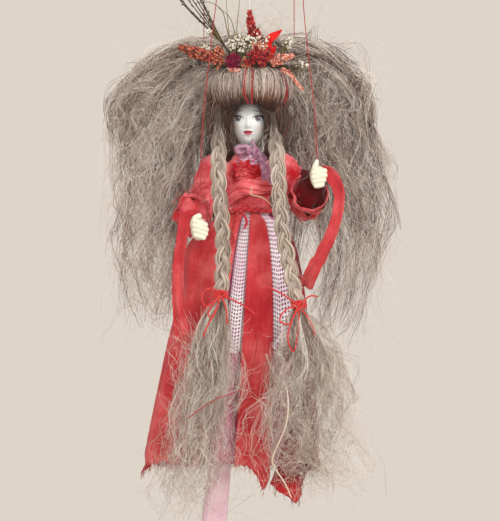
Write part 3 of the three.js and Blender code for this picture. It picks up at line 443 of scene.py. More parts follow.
def paint(under, vector, x, z, half_x, half_z, colour, soft=0.25, tilt=0.0, strength=1.0):
    """Lays one brushed oval of colour over the socket under, and returns the painted colour."""
    place = add_node(tree, "Mapping", vector_type="TEXTURE", Vector=vector, Rotation=(0, tilt, 0),
                     Location=(x * MM, 0, (HEAD_Z + z) * MM), Scale=(half_x * MM, 10, half_z * MM))
    spot = add_node(tree, "TexGradient", gradient_type="SPHERICAL", Vector=place.outputs["Vector"])
    edge = add_node(tree, "MapRange", interpolation_type="SMOOTHSTEP", Value=spot.outputs["Fac"],
                    From_Max=soft, To_Max=strength)
    ahead = add_node(tree, "Math", edge.outputs["Result"], front_half, operation="MULTIPLY").outputs["Value"]
    return add_node(tree, "MixRGB", Fac=ahead, Color1=under, Color2=tint(*colour)).outputs["Color"]


skin = ramp(tree, glaze, (0, (228, 230, 226)), (1, (240, 242, 238)))
for stroke in [
    (both_sides, 10.5, -5.5, 5.5, 5, (232, 196, 186), 0.9, 0, 0.45),
    (both_sides, EYE_X + 0.3, EYE_Z + 1.4, 6.8, 4.6, (150, 138, 140), 0.8, -0.15, 0.5),
    (both_sides, EYE_X + 0.5, EYE_Z + 0.4, 5.8, 3.2, (44, 36, 40), 0.25, -0.12),
    (both_sides, EYE_X + 0.1, EYE_Z - 0.2, 5.0, 2.4, (238, 238, 236), 0.2, -0.1),
    (both_sides, EYE_X - 0.1, EYE_Z + 0.2, 2.6, 2.6, (70, 58, 62), 0.2),
    (both_sides, EYE_X - 0.1, EYE_Z, 2.3, 2.2, (140, 120, 128), 0.4),
    (both_sides, EYE_X - 0.1, EYE_Z + 0.2, 0.9, 1.0, (30, 22, 26), 0.3),
    # Painted highlight: a small white glint in each eye, on the same side of both.
    (one_side, EYE_X + 0.8, EYE_Z + 1.0, 0.8, 0.7, (250, 250, 250), 0.4),
    (one_side, -EYE_X + 0.8, EYE_Z + 1.0, 0.8, 0.7, (250, 250, 250), 0.4),
    (both_sides, EYE_X - 1.6, EYE_Z + 7.0, 4.0, 0.55, (84, 72, 68), 0.6, 0.2, 0.7),
    (one_side, 0, MOUTH_Z - 0.8, 3.9, 1.5, (196, 76, 92), 0.3),
    (both_sides, 1.6, MOUTH_Z + 0.7, 3.2, 1.05, (178, 52, 68), 0.3, 0.2),
    (one_side, 0, MOUTH_Z + 0.05, 4.8, 0.4, (112, 26, 40), 0.5),
    (both_sides, 1.5, NOSE_Z - 2.2, 0.6, 0.4, (170, 140, 130), 0.7, 0, 0.6),
]:
    skin = paint(skin, *stroke)
coat(tree, shader, skin, glaze, 0.06, 0.3)
settle(head, bisque, "porcelain", "head", "head")


# Hands: ivory bisque fists pressed in a mould, four curled fingers one above the other with grooves
# between them and the thumb up against the thread. They are plugged on the wooden forearms.
HANDS = {
    "left": dict(grip=(-44.5, -50, -268), slant=-0.36, top=5.0,
                 rows=[(-3.6, 6.0), (-3.8, 6.8), (-3.4, 6.2), (-2.4, 4.4)],
                 thumb=[(-5.2, -0.5, 2.5, 2.7), (-4.7, -1.4, 6.0, 2.5), (-3.0, -2.2, 9.2, 2.4),
                        (0.4, -2.6, 10.6, 2.7)]),
    "right": dict(grip=(61, -46, -222), slant=0.16, top=3.6,
                  rows=[(-4.0, 5.8), (-4.0, 6.0), (-3.2, 5.0), (-1.8, 3.4)],
                  thumb=[(-3.4, -0.5, 4.0, 3.2), (-2.6, -1.4, 7.5, 3.0), (-1.8, -1.6, 10.5, 2.6),
                         (-1.2, -1.4, 13.0, 1.9)]),
}
FINGER_R, FINGER_PITCH = 2.5, 3.9
FINGER_LUMPS = 9
FIST_VOXEL, FIST_EASES = 0.34, 14

ivory, tree, shader = new_finish("ivory_bisque", Roughness=0.42, Subsurface_Weight=0.1, Coat_Weight=0.1,
                                 Subsurface_Radius=(0.004, 0.003, 0.002))
# Painted shade: the colour darkens in the grooves and hollows, read from the mesh's pointiness, and is palest on the
# rounded tops.
groove_shade = add_node(tree, "NewGeometry").outputs["Pointiness"]
coat(tree, shader, ramp(tree, groove_shade, (0.44, (196, 184, 150)), (0.52, (240, 237, 214))),
     mottling(tree, 320.0, 5.0), 0.1, 0.4)


def oval(bm, centre, half, detail=20):
    """Oval lump of clay with these half sizes, in mm."""
    matrix = Matrix.Translation(Vector(centre) * MM) @ Matrix.Diagonal([h * MM for h in half] + [1])
    bmesh.ops.create_uvsphere(bm, u_segments=detail, v_segments=detail * 3 // 4, radius=1, matrix=matrix)


def apply_modifiers(piece):
    mesh = bpy.data.meshes.new_from_object(piece.evaluated_get(bpy.context.evaluated_depsgraph_get()))
    piece.modifiers.clear()
    piece.data = mesh
    shade_smooth(mesh)


def remould(piece, voxel, eases):
    """Remeshes a piece at this voxel size, in mm, and eases its skin this many times."""
    piece.modifiers.new("block", "REMESH").voxel_size = voxel * MM
    relax = piece.modifiers.new("ease", "SMOOTH")
    relax.factor = 0.5
    relax.iterations = eases
    apply_modifiers(piece)


for side, hand in HANDS.items():
    bm = bmesh.new()
    oval(bm, (0.2, 1.4, -0.8), (7.2, 7.3, 10.0), 48)
    oval(bm, (0.2, 1.0, 1.6), (7.6, 7.1, 7.4), 48)
    for finger, (first, last) in enumerate(hand["rows"]):
        height = hand["top"] - finger * FINGER_PITCH
        for step in range(FINGER_LUMPS):
            x = first + (last - first) * step / (FINGER_LUMPS - 1)
            y = 1.0 - 4.7 * math.sqrt(max(0.0, 1 - (x / 8.4) ** 2)) * (1 - 0.06 * abs(finger - 1))
            oval(bm, (x, y, height + hand["slant"] * x), (FINGER_R, FINGER_R, FINGER_R * 1.02))
    for x, y, z, size in smooth_line(hand["thumb"], 9):
        oval(bm, (x, y, z), (size, size, size))
    oval(bm, (0, 6.0, -1.5), (4.6, 5.0, 6.2))
    bmesh.ops.translate(bm, verts=bm.verts[:], vec=Vector(hand["grip"]) * MM)
    fist = new_object(side + "_fist", mesh_from(side + "_fist", bm))
    remould(fist, FIST_VOXEL, FIST_EASES)
    settle(fist, ivory, "clay", side + "_forearm", side + "_hand")


# Skirt: gauze strips, knitted lace and a mauve underskirt, all gathered at the waist under the sash and
# hanging in long soft folds. Raw torn edges, dyed unevenly, crushed lengthwise while still wet.
WAIST_Z = -253
WAIST_HALF = (18.7, 13.9)
HEM_HALF = (66, 24)
HEM_SHIFT_X = -18
SKIRT_DROP = 238
SKIRT_FLARE = 0.45
LAYER_PITCH = (2.0, 6.0)
FOLD_COUNT, FOLD_DEPTH = 12, 4.0
TUCK = 5


def skirt_point(degrees, drop, out, soft=1.0):
    """Point of the skirt's fold field; degrees grow from the front to the right, out is in layers."""
    run = max(0.0, drop - TUCK) / (SKIRT_DROP - TUCK)
    flare = run**SKIRT_FLARE
    angle = math.radians(degrees)
    fold = soft * FOLD_DEPTH * run**0.8 * math.cos(FOLD_COUNT * angle + 2.5 * run)
    proud = out * (LAYER_PITCH[0] + (LAYER_PITCH[1] - LAYER_PITCH[0]) * run**0.5) + fold
    half_x, half_y = (WAIST_HALF[k] + (HEM_HALF[k] - WAIST_HALF[k]) * flare + proud for k in (0, 1))
    return Vector((HEM_SHIFT_X * run + half_x * math.sin(angle), -half_y * math.cos(angle), WAIST_Z - drop))


def crush(across, down, seed):
    """Creases of crushed gauze at a place in mm on the cloth, about 1 deep: long, short and fine."""
    long_crease = noise.noise(((across + 0.15 * down) / 24, down / 120, seed))
    crease = 0.5 - abs(noise.noise(((across - 0.1 * down) / 9, down / 50, seed + 7)))
    fine = noise.noise((across / 2.2, down / 9, seed + 13))
    return 1.5 * long_crease + 0.6 * crease + 0.1 * fine


def thicken(piece, name, thick):
    """Gives a sheet its thickness, in mm, half to each side."""
    wall = piece.modifiers.new(name, "SOLIDIFY")
    wall.thickness = thick * MM
    wall.offset = 0
    return piece


def hung_cloth(name, width, length, surface, pitch, thick=0.6):
    """Cloth of this flat size over surface(u, v), given in mm, with a grid of about the pitch."""
    bm = bmesh.new()
    flat = bm.loops.layers.uv.new("Cloth")
    bmesh.ops.create_grid(bm, x_segments=round(width / pitch[0]), y_segments=round(length / pitch[1]), size=0.5)
    places = {vert: (vert.co.x + 0.5, 0.5 - vert.co.y) for vert in bm.verts}
    for face in bm.faces:
        for loop in face.loops:
            u, v = places[loop.vert]
            loop[flat].uv = (u * width * MM, v * length * MM)
    for vert, (u, v) in places.items():
        vert.co = Vector(surface(u, v)) * MM
    return thicken(new_object(name, mesh_from(name, bm)), "cloth", thick)


def stirred(tree, value, other, share):
    """Value socket of one value with a share of another stirred in, evenly about its middle."""
    level = add_node(tree, "Math", value, share / 2, operation="SUBTRACT").outputs["Value"]
    return add_node(tree, "Math", other, share, level, operation="MULTIPLY_ADD").outputs["Value"]


def gauze(name, dark, middle, light, weave=400.0):
    """Crushed cotton gauze: uneven dye in patches, a plain weave of fine threads, a soft nap."""
    material, tree, shader = new_finish(name, Roughness=0.88, Sheen_Weight=0.25, Specular_IOR_Level=0.2)
    cloth_map = add_node(tree, "UVMap", uv_map="Cloth").outputs["UV"]
    stretched = add_node(tree, "Mapping", Vector=cloth_map, Scale=(900, 60, 1)).outputs["Vector"]
    uneven = stirred(tree, mottling(tree, 28.0, 5.0, Roughness=0.6), mottling(tree, 1.0, 3.0, stretched), 0.2)
    threads = [add_node(tree, "TexWave", Vector=cloth_map, Scale=weave, Distortion=1.0, Detail=1.0,
                        bands_direction=direction).outputs["Fac"] for direction in "XY"]
    weft = add_node(tree, "Math", *threads, operation="MAXIMUM").outputs["Value"]
    coat(tree, shader, ramp(tree, uneven, (0.3, dark), (0.5, middle), (0.7, light)), weft, 0.35, 0.4)
    return material


red_gauze = gauze("red_gauze", (182, 36, 46), (212, 66, 70), (238, 116, 114))
dark_gauze = gauze("dark_gauze", (86, 6, 16), (124, 14, 26), (160, 34, 44))
mauve_gauze = gauze("mauve_gauze", (190, 84, 124), (214, 108, 150), (230, 146, 180), 520.0)
pale_gauze = gauze("pale_gauze", (220, 168, 186), (236, 194, 208), (246, 214, 224), 520.0)


def declare_cloth(piece, finish, body, slot, node):
    """Settles a cloth: gives it its finish, rides it on a body and lets it stand for a CAD node."""
    settle(piece, finish, slot, body, node)


def torn_hem(drop, point, where, seed):
    """Hem that hangs to drop, torn to a point at share where of its width, with a ragged edge."""
    def end(u):
        peak = max(0.0, 1 - abs(u - where) / 0.45) ** 1.5
        hang = drop + point * peak + 3.5 * noise.noise((9 * u, seed, 0))
        return hang + 1.5 * noise.noise((41 * u, seed, 5))
    return end


# The right strip is turned back at its tip, where the outer side's red shows.
TURN_Z = (-486, -500)
turned_gauze = dark_gauze.copy()
turned_gauze.name = "turned_gauze"
tree = turned_gauze.node_tree
shader = tree.nodes["Principled BSDF"]
dark_side = shader.inputs["Base Color"].links[0].from_socket
height = add_node(tree, "SeparateXYZ", Vector=add_node(tree, "TexCoord").outputs["Object"]).outputs["Z"]
turn = add_node(tree, "MapRange", Value=height, From_Min=TURN_Z[0] * MM, From_Max=TURN_Z[1] * MM)
both = add_node(tree, "MixRGB", Fac=turn.outputs["Result"], Color1=dark_side, Color2=tint(206, 46, 52))
tree.links.new(both.outputs["Color"], shader.inputs["Base Color"])

# Each row: piece, node, angles of its two edges at the waist and at the hem, top and end of the drop,
# point and its place along the hem, layer, finish, slot, depth of crush, share of the skirt's own folds
TOP = 0.3
SKIRT_PIECES = [
    ("underskirt_cloth", "underskirt", (-150, 150), (-150, 150), TOP, 226,
     0, 0.5, 0.0, mauve_gauze, "pink_gauze", 0.8, 1.0),
    ("gauze_side", "right_gauze", (57, 88), (57, 88), TOP, 92,
     6, 0.4, 1.0, mauve_gauze, "pink_gauze", 1.0, 1.0),
    ("robe_left", "left_panel", (-112, -14), (-112, -16), TOP, 224,
     10, 0.12, 2.0, red_gauze, "red_gauze", 2.4, 0.55),
    ("robe_centre", "centre_panel", (2, 28), (3, 29), TOP, 226,
     24, 0.78, 2.0, red_gauze, "red_gauze", 1.5, 0.8),
    ("robe_right", "right_panel", (68, 108), (30, 108), TOP, 228,
     33, 0.2, 2.0, turned_gauze, "dark_gauze", 1.8, 1.0),
    ("robe_back", "back_panel", (118, 240), (118, 240), TOP, 226,
     0, 0.5, 2.0, red_gauze, "red_gauze", 2.1, 0.8),
    ("hanging_strip", "pink_strip", (-18, 1), (-18, 1), 150, 290,
     3, 0.3, -0.64, pale_gauze, "pink_gauze", 0.7, 1.0),
]
HIP_PUFF = 21
FRAY_R = 0.16
HEM_THREADS = {"red_gauze": (200, 52, 58), "dark_gauze": (130, 20, 30), "pink_gauze": (214, 160, 178)}


def skirt_surface(waist, hem, top, end_of, layer, depth, seed, soft=1.0, puff=0.0):
    """Surface of one piece of the skirt, crushed, creased across near its hem and puffed at the left hip."""
    def surface(u, v):
        drop = top + (end_of(u) - top) * v
        side = [waist[k] + (hem[k] - waist[k]) * v * v for k in (0, 1)]
        degrees = side[0] + (side[1] - side[0]) * u
        eased = min(1.0, (drop - top) / 60)
        near_hem = max(0.0, (v - 0.8) / 0.2)
        leftward = max(0.0, math.sin(math.radians(-degrees - 20)))
        creased = depth * eased * crush(degrees * 0.9, drop, seed)
        creased += 2.6 * depth * near_hem * noise.noise((degrees / 19, drop / 6.5 + degrees / 40, seed))
        creased += puff * math.exp(-(((drop - 36) / 26) ** 2)) * leftward
        pitch = LAYER_PITCH[0] + (LAYER_PITCH[1] - LAYER_PITCH[0]) * (max(0.0, drop) / SKIRT_DROP) ** 0.5
        return skirt_point(degrees, drop, layer + creased / pitch * 0.55, soft)
    return surface


hem_fray = {slot: [] for slot in HEM_THREADS}
hem_rng = np.random.default_rng(11)
for row, (piece_name, node, waist, hem, top, drop, point, where, layer, finish, slot, depth, soft) in enumerate(
        SKIRT_PIECES):
    surface = skirt_surface(waist, hem, top, torn_hem(drop, point, where, row), layer, depth, 3.7 * row, soft,
                            HIP_PUFF if piece_name == "robe_left" else 0.0)
    wide = math.radians(hem[1] - hem[0]) * 0.8 * HEM_HALF[0]
    cloth = hung_cloth(piece_name, wide, drop - top, surface, (1.5, 3.2))
    declare_cloth(cloth, finish, "torso", slot, node)
    for u in hem_rng.uniform(0, 1, round(wide * 0.9)):
        start = np.array(surface(u, 1.0))
        hang = np.array([hem_rng.normal(0, 1.2), hem_rng.normal(0, 1.0), -hem_rng.uniform(1.5, 7)])
        curl = hem_rng.normal(0, 0.8, 3)
        hem_fray[slot].append(smooth_line([start + (0, 0, 1), start + hang * 0.5 + curl, start + hang], 6))

for slot, lines in hem_fray.items():
    threads = fibre_piece(slot + "_fray", lines, FRAY_R)
    settle(threads, twisted_finish(slot + "_thread", HEM_THREADS[slot], HEM_THREADS[slot], 600), slot, "torso")


# Lace: knitted cotton openwork in pale pink, a ladder knit on the left and a fishnet on the right, with
# real holes between the yarns. It hangs between the underskirt and the red strips.
# Each row: piece, node, angles of its two edges, drop, columns and rows of meshes, the yarn's share of one
LACES = [
    ("ladder_lace", "left_lace", (-13, 5), 122, 7, 38, 0.36),
    ("fishnet_lace", "right_lace", (27, 56), 128, 9, 34, 0.32),
]
lace, tree, shader = new_finish("knitted_lace", Roughness=0.85, Sheen_Weight=0.2)
blush = ramp(tree, mottling(tree, 38.0, 2.0), (0.35, (244, 222, 234)), (0.6, (255, 250, 252)))
coat(tree, shader, blush, mottling(tree, 420.0, 4.0), 0.5, 0.4)


def openwork(name, columns, rows, surface, rim, thick=0.8):
    """Net of columns x rows meshes over surface(u, v); rim is the yarn's share of each mesh."""
    bm = bmesh.new()
    bmesh.ops.create_grid(bm, x_segments=columns, y_segments=rows, size=0.5)
    bmesh.ops.scale(bm, vec=(columns, rows, 1), verts=bm.verts[:])
    holes = bm.faces[:]
    bmesh.ops.inset_individual(bm, faces=holes, thickness=rim / 2, use_even_offset=True)
    bmesh.ops.delete(bm, geom=holes, context="FACES_ONLY")
    for vert in bm.verts:
        vert.co = Vector(surface(vert.co.x / columns + 0.5, 0.5 - vert.co.y / rows)) * MM
    piece = thicken(new_object(name, mesh_from(name, bm)), "yarn", thick)
    rounding = piece.modifiers.new("round", "SUBSURF")
    rounding.levels = rounding.render_levels = 1
    return piece


for number, (piece_name, node, angles, drop, columns, rows, rim) in enumerate(LACES):
    surface = skirt_surface(angles, angles, TOP, torn_hem(drop, 5, 0.5, 20 + number), 1.0, 0.7, 40 + number)
    net = openwork(piece_name, columns, rows, surface, rim)
    declare_cloth(net, lace, "torso", "pink_lace", node)


# Bodice and sleeves: crumpled gauze wrapped round the torso, puffed over the shoulders and open in wide
# bells at the wrists. The form is blocked first, then crushed by hand.
CRUSH_GRAIN = 8.5
CRUSH_SEED = 1795778955
TRIM = 0.6
FRAY_COUNT = 110
noise.seed_set(CRUSH_SEED)


def put_in_order(mesh):
    """Lists the skin's points and faces by place, so that later steps always meet them in one order."""
    places = np.array([vert.co for vert in mesh.vertices])
    order = np.lexsort(places.round(6).T)
    rank = np.argsort(order)
    faces = []
    for face in mesh.polygons:
        corners = [int(rank[corner]) for corner in face.vertices]
        first = corners.index(min(corners))
        faces.append(corners[first:] + corners[:first])
    mesh.clear_geometry()
    mesh.from_pydata(places[order].tolist(), [], sorted(faces))


def crumpled(name, node, voxel, deep, seed):
    """Copy of a CAD form, remeshed finely, eased, and crushed by a field of soft folds."""
    mesh = frame["nodes"][node].data.copy()
    bm = bmesh.new()
    bm.from_mesh(mesh)
    bmesh.ops.remove_doubles(bm, verts=bm.verts[:], dist=1e-6)
    bm.to_mesh(mesh)
    bm.free()
    piece = new_object(name, mesh)
    remould(piece, voxel, 4)
    put_in_order(piece.data)
    for vert in piece.data.vertices:
        place = vert.co / MM
        broad = noise.noise_vector(place / CRUSH_GRAIN + Vector((seed, 0, 0)))
        sharp = noise.noise_vector(Vector((place.x / 3.4, place.y / 3.4, place.z / 6.5)) + Vector((0, seed, 0)))
        fine = noise.noise_vector(place / 1.5 + Vector((0, 0, seed)))
        vert.co += (broad * deep + sharp * deep * 0.5 + fine * 0.14) * MM
    piece.modifiers.new("trim", "DECIMATE").ratio = TRIM
    apply_modifiers(piece)
    piece.data.materials.clear()
    return piece


crushed_red, tree, shader = new_finish("crushed_red", Roughness=0.88, Sheen_Weight=0.25, Specular_IOR_Level=0.2)
dye = mottling(tree, 45.0, 6.0, Roughness=0.62)
coat(tree, shader, ramp(tree, dye, (0.36, (186, 16, 26)), (0.66, (255, 132, 138))),
     mottling(tree, 900.0, 2.0), 0.4, 0.4)

# Each row: piece, node, body, voxel, depth of crush, seed
garments = {}
for piece_name, node, body, voxel, deep, seed in [
    ("crushed_bodice", "bodice", "torso", 0.8, 2.5, 1.0),
    ("puffed_sleeve_left", "left_sleeve", "left_upper_arm", 0.62, 1.9, 21.0),
    ("puffed_sleeve_right", "right_sleeve", "right_upper_arm", 0.62, 1.9, 34.0),
]:
    garments[node] = settle(crumpled(piece_name, node, voxel, deep, seed), crushed_red, "red_gauze", body, node)

# Threads pulled out of the sleeves; each side has its reach across and its reach in height
FRAYS = {"left": ((-66, -34), (-254, -227)), "right": ((32, 52), (-256, -222))}
pulled_rng = np.random.default_rng(9)
frayed = twisted_finish("frayed_thread", (150, 8, 16), (238, 66, 66), 150)
for side, (reach_x, reach_z) in FRAYS.items():
    roots = [(vert.co / MM, vert.normal.copy()) for vert in garments[side + "_sleeve"].data.vertices
             if reach_x[0] < vert.co.x / MM < reach_x[1] and reach_z[0] < vert.co.z / MM < reach_z[1]
             and vert.normal.y < -0.3]
    threads = []
    for pick in pulled_rng.integers(len(roots), size=FRAY_COUNT):
        root, away = roots[pick]
        run = Vector(pulled_rng.normal(0, 1, 3)) + Vector((0, 0, -0.5))
        run = (run - away * run.dot(away)).normalized() * pulled_rng.uniform(6, 18)
        bow = root + away * 1.6 + run * 0.4 + Vector(pulled_rng.normal(0, 1.6, 3))
        threads.append(smooth_line([root + away * 0.3, bow, root + away * 1.8 + run], 8))
    pulled = fibre_piece(side + "_frays", threads, 0.2, 3, pulled_rng.uniform(0, 1, len(threads)))
    settle(pulled, frayed, "red_thread", side + "_upper_arm")


def closed_tube(name, surface, around, along):
    """Skin over surface(u, v) that closes on itself round u and is capped at both ends of v."""
    bm = bmesh.new()
    bmesh.ops.create_grid(bm, x_segments=around, y_segments=along, size=0.5)
    for vert in bm.verts:
        vert.co = Vector(surface(vert.co.x + 0.5, 0.5 - vert.co.y)) * MM
    bmesh.ops.remove_doubles(bm, verts=bm.verts[:], dist=0.002 * MM)
    bmesh.ops.holes_fill(bm, edges=[edge for edge in bm.edges if edge.is_boundary], sides=0)
    bmesh.ops.recalc_face_normals(bm, faces=bm.faces[:])
    return new_object(name, mesh_from(name, bm))


# Each lining: the wrist's middle and radius, the mouth's middle and half sizes
LININGS = {
    "left": ((-44.6, -38.5, -264.2), 5.0, (-51.0, -25.5, -256.0), (14.2, 17.0)),
    "right": ((59.5, -38.0, -226.4), 5.0, (54.5, -22.0, -236.0), (16.0, 18.0)),
}
# Painted shade: the right sleeve's inside is a near-black red, for the shade in its open mouth; the left one keeps
# the bodice's red.
shaded_sleeve_red = gauze("shaded_sleeve_red", (44, 0, 2), (86, 0, 5), (124, 6, 12))
for side, (wrist, narrow, foot, wide) in LININGS.items():
    def lining_surface(u, v, wrist=np.array(wrist), foot=np.array(foot), narrow=narrow, wide=wide):
        swing, ease = 2 * math.pi * u, v**0.75
        x, y, z = wrist + (foot - wrist) * v
        folds = 1 + 0.16 * v * math.cos(5 * swing + 2 * v) + 0.1 * v * math.cos(9 * swing + 3)
        pucker = 1.6 * noise.noise((1.7 * math.cos(swing), 1.7 * math.sin(swing), 4 * v + wrist[0]))
        wide_x, wide_z = (narrow + (half - narrow) * ease for half in wide)
        return (x + wide_x * folds * math.sin(swing), y + pucker * math.sin(math.pi * v),
                z + wide_z * folds * math.cos(swing))
    lining = closed_tube(side + "_lining", lining_surface, 96, 40)
    settle(lining, crushed_red if side == "left" else shaded_sleeve_red, "dark_gauze", side + "_forearm")


# Chest roll: the wrap's top edge gathered into a soft roll across the chest, with a crumpled rosette
# above it on the left, a narrow sash twisted round the waist and two short ends knotted on it.
CHEST_Z = -233
CHEST_HALF = (21.5, 18)
CHEST_R = 9.0
CHEST_FOLDS = 7
ROSETTE_AT, ROSETTE_HALF = (-5.5, -17.5, -216.5), (8.5, 4.4, 7)
SASH_HALF = (25.0, 20.2)
SASH_STRANDS, SASH_STEPS = 5, 120


def chest_surface(u, v):
    """Surface of the roll; u goes round it, v across the chest from one end to the other."""
    swing = -2.85 + 2.55 * v
    angle = 2 * math.pi * u
    middle = Vector((CHEST_HALF[0] * math.cos(swing), CHEST_HALF[1] * math.sin(swing), CHEST_Z))
    middle.z += 3.5 - 14 * math.exp(-(((middle.x + 24) / 12) ** 2))
    outward = Vector((math.cos(swing), math.sin(swing), 0))
    full = CHEST_R * (0.45 + 0.55 * math.sqrt(max(0.0, math.sin(math.pi * v))))
    gathers = 0.05 * math.cos(5 * angle + 5 * v)
    for fold in range(CHEST_FOLDS):
        crease = 2 * math.pi * fold / CHEST_FOLDS + 1.1 * (1 - v) * math.sin(2.1 * fold + 0.6)
        crease += 0.25 * math.sin(6 * v + fold)
        apart = math.remainder(angle - crease, 2 * math.pi)
        gathers -= 0.34 * math.exp(-((apart / 0.17) ** 2))
    pucker = 0.22 * noise.noise((2.2 * math.cos(angle), 2.2 * math.sin(angle), 7 * v))
    size = full * (1 + gathers + pucker)
    return middle + outward * (0.85 * size * math.cos(angle)) + Vector((0, 0, size * math.sin(angle)))


chest = closed_tube("gathered_roll", chest_surface, 96, 90)
settle(chest, crushed_red, "red_gauze", "torso", "chest_roll")

bm = bmesh.new()
bmesh.ops.create_icosphere(bm, subdivisions=6, radius=1)
for vert in bm.verts:
    ridge = abs(noise.noise(vert.co * 2.3 + Vector((5, 1, 2)))) + 0.5 * abs(noise.noise(vert.co * 5.1))
    reach = 0.62 + 1.15 * ridge
    vert.co = Vector([at + half * reach * c for at, half, c in zip(ROSETTE_AT, ROSETTE_HALF, vert.co)]) * MM
settle(new_object("crumpled_rosette", mesh_from("crumpled_rosette", bm)), crushed_red, "red_gauze", "torso")

turns = []
for strand in range(SASH_STRANDS):
    lean = 2 * math.pi * strand / SASH_STRANDS
    ring = []
    for step in range(SASH_STEPS + 1):
        swing = 2 * math.pi * step / SASH_STEPS
        twist = 9 * swing + lean
        out = 1.1 * math.cos(twist)
        ring.append(((SASH_HALF[0] + out) * math.cos(swing), (SASH_HALF[1] + out) * math.sin(swing),
                     WAIST_Z + 1.4 + 1.3 * math.sin(twist) + 0.6 * math.sin(3 * swing)))
    turns.append(ring)
for offset, ends in ((0.0, [(-10, -22, -251), (-11, -24, -258), (-14, -25, -270), (-13, -27, -281)]),
                     (1.4, [(-9, -22, -252), (-5, -24, -255), (-2, -25, -262), (-4, -26, -268)])):
    turns.append(smooth_line(np.array(ends) + (0, -offset, 0), SASH_STEPS + 1))
sash = fibre_piece("twisted_sash", turns, 1.15, 7, np.linspace(0, 1, len(turns)))
settle(sash, twisted_finish("sash_cloth", (166, 22, 32), (214, 50, 56), 90), "dark_gauze", "torso", "waist_sash")


# Ribbons: strips torn from the same red gauze, laid over the fists, folded lengthwise and hanging free.
# Each keeps hanging straight down when its arm goes up.
RIBBONS = {
    "left": [(-45, -44, -259), (-51.5, -47, -258), (-56.5, -50.5, -263), (-59, -51.5, -276), (-62, -51, -296),
             (-63, -49, -320), (-61, -46, -346), (-59, -44, -366)],
    "right": [(63, -40, -220), (70, -44, -219.5), (75.5, -47.5, -226), (79.3, -51, -236), (79, -54, -248),
              (75, -56.5, -266), (66, -55, -287), (57, -50, -304), (50, -40, -320)],
}
RIBBON_WIDTH = 13
RIBBON_POINTS = 120
# The ribbons take a darker copy of the red gauze: partly painted shade, for the shade they hang in, and partly a
# truer colour.
ribbon_gauze_with_shade = gauze("ribbon_gauze_with_shade", (172, 34, 42), (198, 58, 62), (224, 98, 98))

for side, route in RIBBONS.items():
    middle = smooth_line(route, RIBBON_POINTS)
    ahead = np.gradient(middle, axis=0) * (1, 0, 1)
    ahead /= np.linalg.norm(ahead, axis=1)[:, None]
    length = line_length(middle)

    def ribbon_surface(u, v, middle=middle, ahead=ahead, side=side):
        step = min(RIBBON_POINTS - 1, round(v * (RIBBON_POINTS - 1)))
        over = Vector((-ahead[step][2], 0, ahead[step][0]))
        folded = 1.1 * math.cos(2.6 * math.pi * u + 2.2 * math.sin(4 * v)) + 1.6 * noise.noise((2.4 * u, 5 * v, 4.0))
        narrow = 0.86 + 0.14 * math.cos(6 * v)
        edge = 0.7 * noise.noise((3 * u, 22 * v, 3.0 if side == "left" else 8.0)) * abs(2 * u - 1)
        torn = 3.0 * v**12 * noise.noise((7 * u, 2.0, 5.0 if side == "left" else 1.0))
        place = Vector(middle[step]) + over * ((u - 0.5) * RIBBON_WIDTH * narrow + edge)
        place.y += folded + 0.4 * crush(u * RIBBON_WIDTH * 2, v * 90, 60)
        return place + Vector((0, 0, torn))
    ribbon = hung_cloth(side + "_robe_ribbon", RIBBON_WIDTH, length, ribbon_surface, (0.5, 1.05))
    declare_cloth(ribbon, ribbon_gauze_with_shade, side + "_ribbon", "red_gauze",
                  side + "_ribbon")


# Scarf: a narrow strip of lilac openwork wound round the neck in many thin turns, crinkled, with one end
# turned up as a lobe beside the chin, a small loop on the left and a lacy tail down the chest.
SCARF_TOP = -196
SCARF_TURNS = 28


def kept(tree, name):
    """Value socket of what is kept with each point of a mesh under this name."""
    return add_node(tree, "Attribute", attribute_name=name).outputs["Fac"]

wraps = []
scarf_rng = np.random.default_rng(5)
for turn in range(SCARF_TURNS):
    swing = np.linspace(0, 2 * np.pi, 81)
    wave = scarf_rng.uniform(0, 6.3, 3)
    size = 8.4 + 0.2 * turn + 0.7 * np.sin(3 * swing + wave[0]) + 0.5 * np.sin(7 * swing + wave[1])
    height = SCARF_TOP - 0.5 * turn + 1.3 * np.sin(2 * swing + wave[2]) + 0.5 * np.sin(5 * swing + wave[0])
    wraps.append(np.column_stack([size * np.sin(swing), -size * np.cos(swing) * 1.05, height]))
scarf = fibre_piece("wound_scarf", wraps, 0.72, 6, scarf_rng.uniform(0, 1, len(wraps)))
lilac, tree, shader = new_finish("lilac_lace", Roughness=0.85, Sheen_Weight=0.3)
knit = mottling(tree, 240.0, 5.0)
shade = add_node(tree, "Math", kept(tree, "tone"), 0.5, knit, operation="MULTIPLY_ADD").outputs["Value"]
coat(tree, shader, ramp(tree, shade, (0.36, (142, 78, 112)), (0.86, (244, 196, 216))), knit, 0.6, 0.6)


def lobe_surface(u, v):
    spread = (1 - v) * 13 + 0.6
    return (3 + 6 * (1 - v) + (u - 0.45) * spread, -13.5 - 3.5 * math.sin(math.pi * u) * (1 - v) + 1.5 * v,
            -203.5 + 14.5 * v + 1.4 * math.sin(5 * u))


def loop_surface(u, v):
    swing, reach = math.pi * (0.1 + 1.7 * v), 2.2 + 4.0 * u
    return (-5.5 - 1.3 * reach * math.sin(swing), -14 - 2.4 * math.sin(math.pi * u) - 1.0 * math.sin(7 * v),
            -197.5 - 0.9 * reach * math.cos(swing) + 0.5 * math.sin(9 * v))


def tail_surface(u, v):
    return (12 + 5.5 * v + (u - 0.5) * (6 + 5 * v), -18.2 - 2.2 * math.sin(math.pi * v) + 0.9 * math.sin(9 * u),
            -203 - 25 * v + 1.2 * math.sin(7 * u))


settle(scarf, lilac, "pink_lace", "torso", "neck_scarf")
for piece in (hung_cloth("scarf_lobe", 13, 15, lobe_surface, (0.7, 0.7), 0.7),
              hung_cloth("scarf_loop", 4, 17, loop_surface, (0.7, 0.6), 0.9),
              openwork("scarf_tail", 6, 14, tail_surface, 0.6, 0.7)):
    settle(piece, lilac, "pink_lace", "torso")
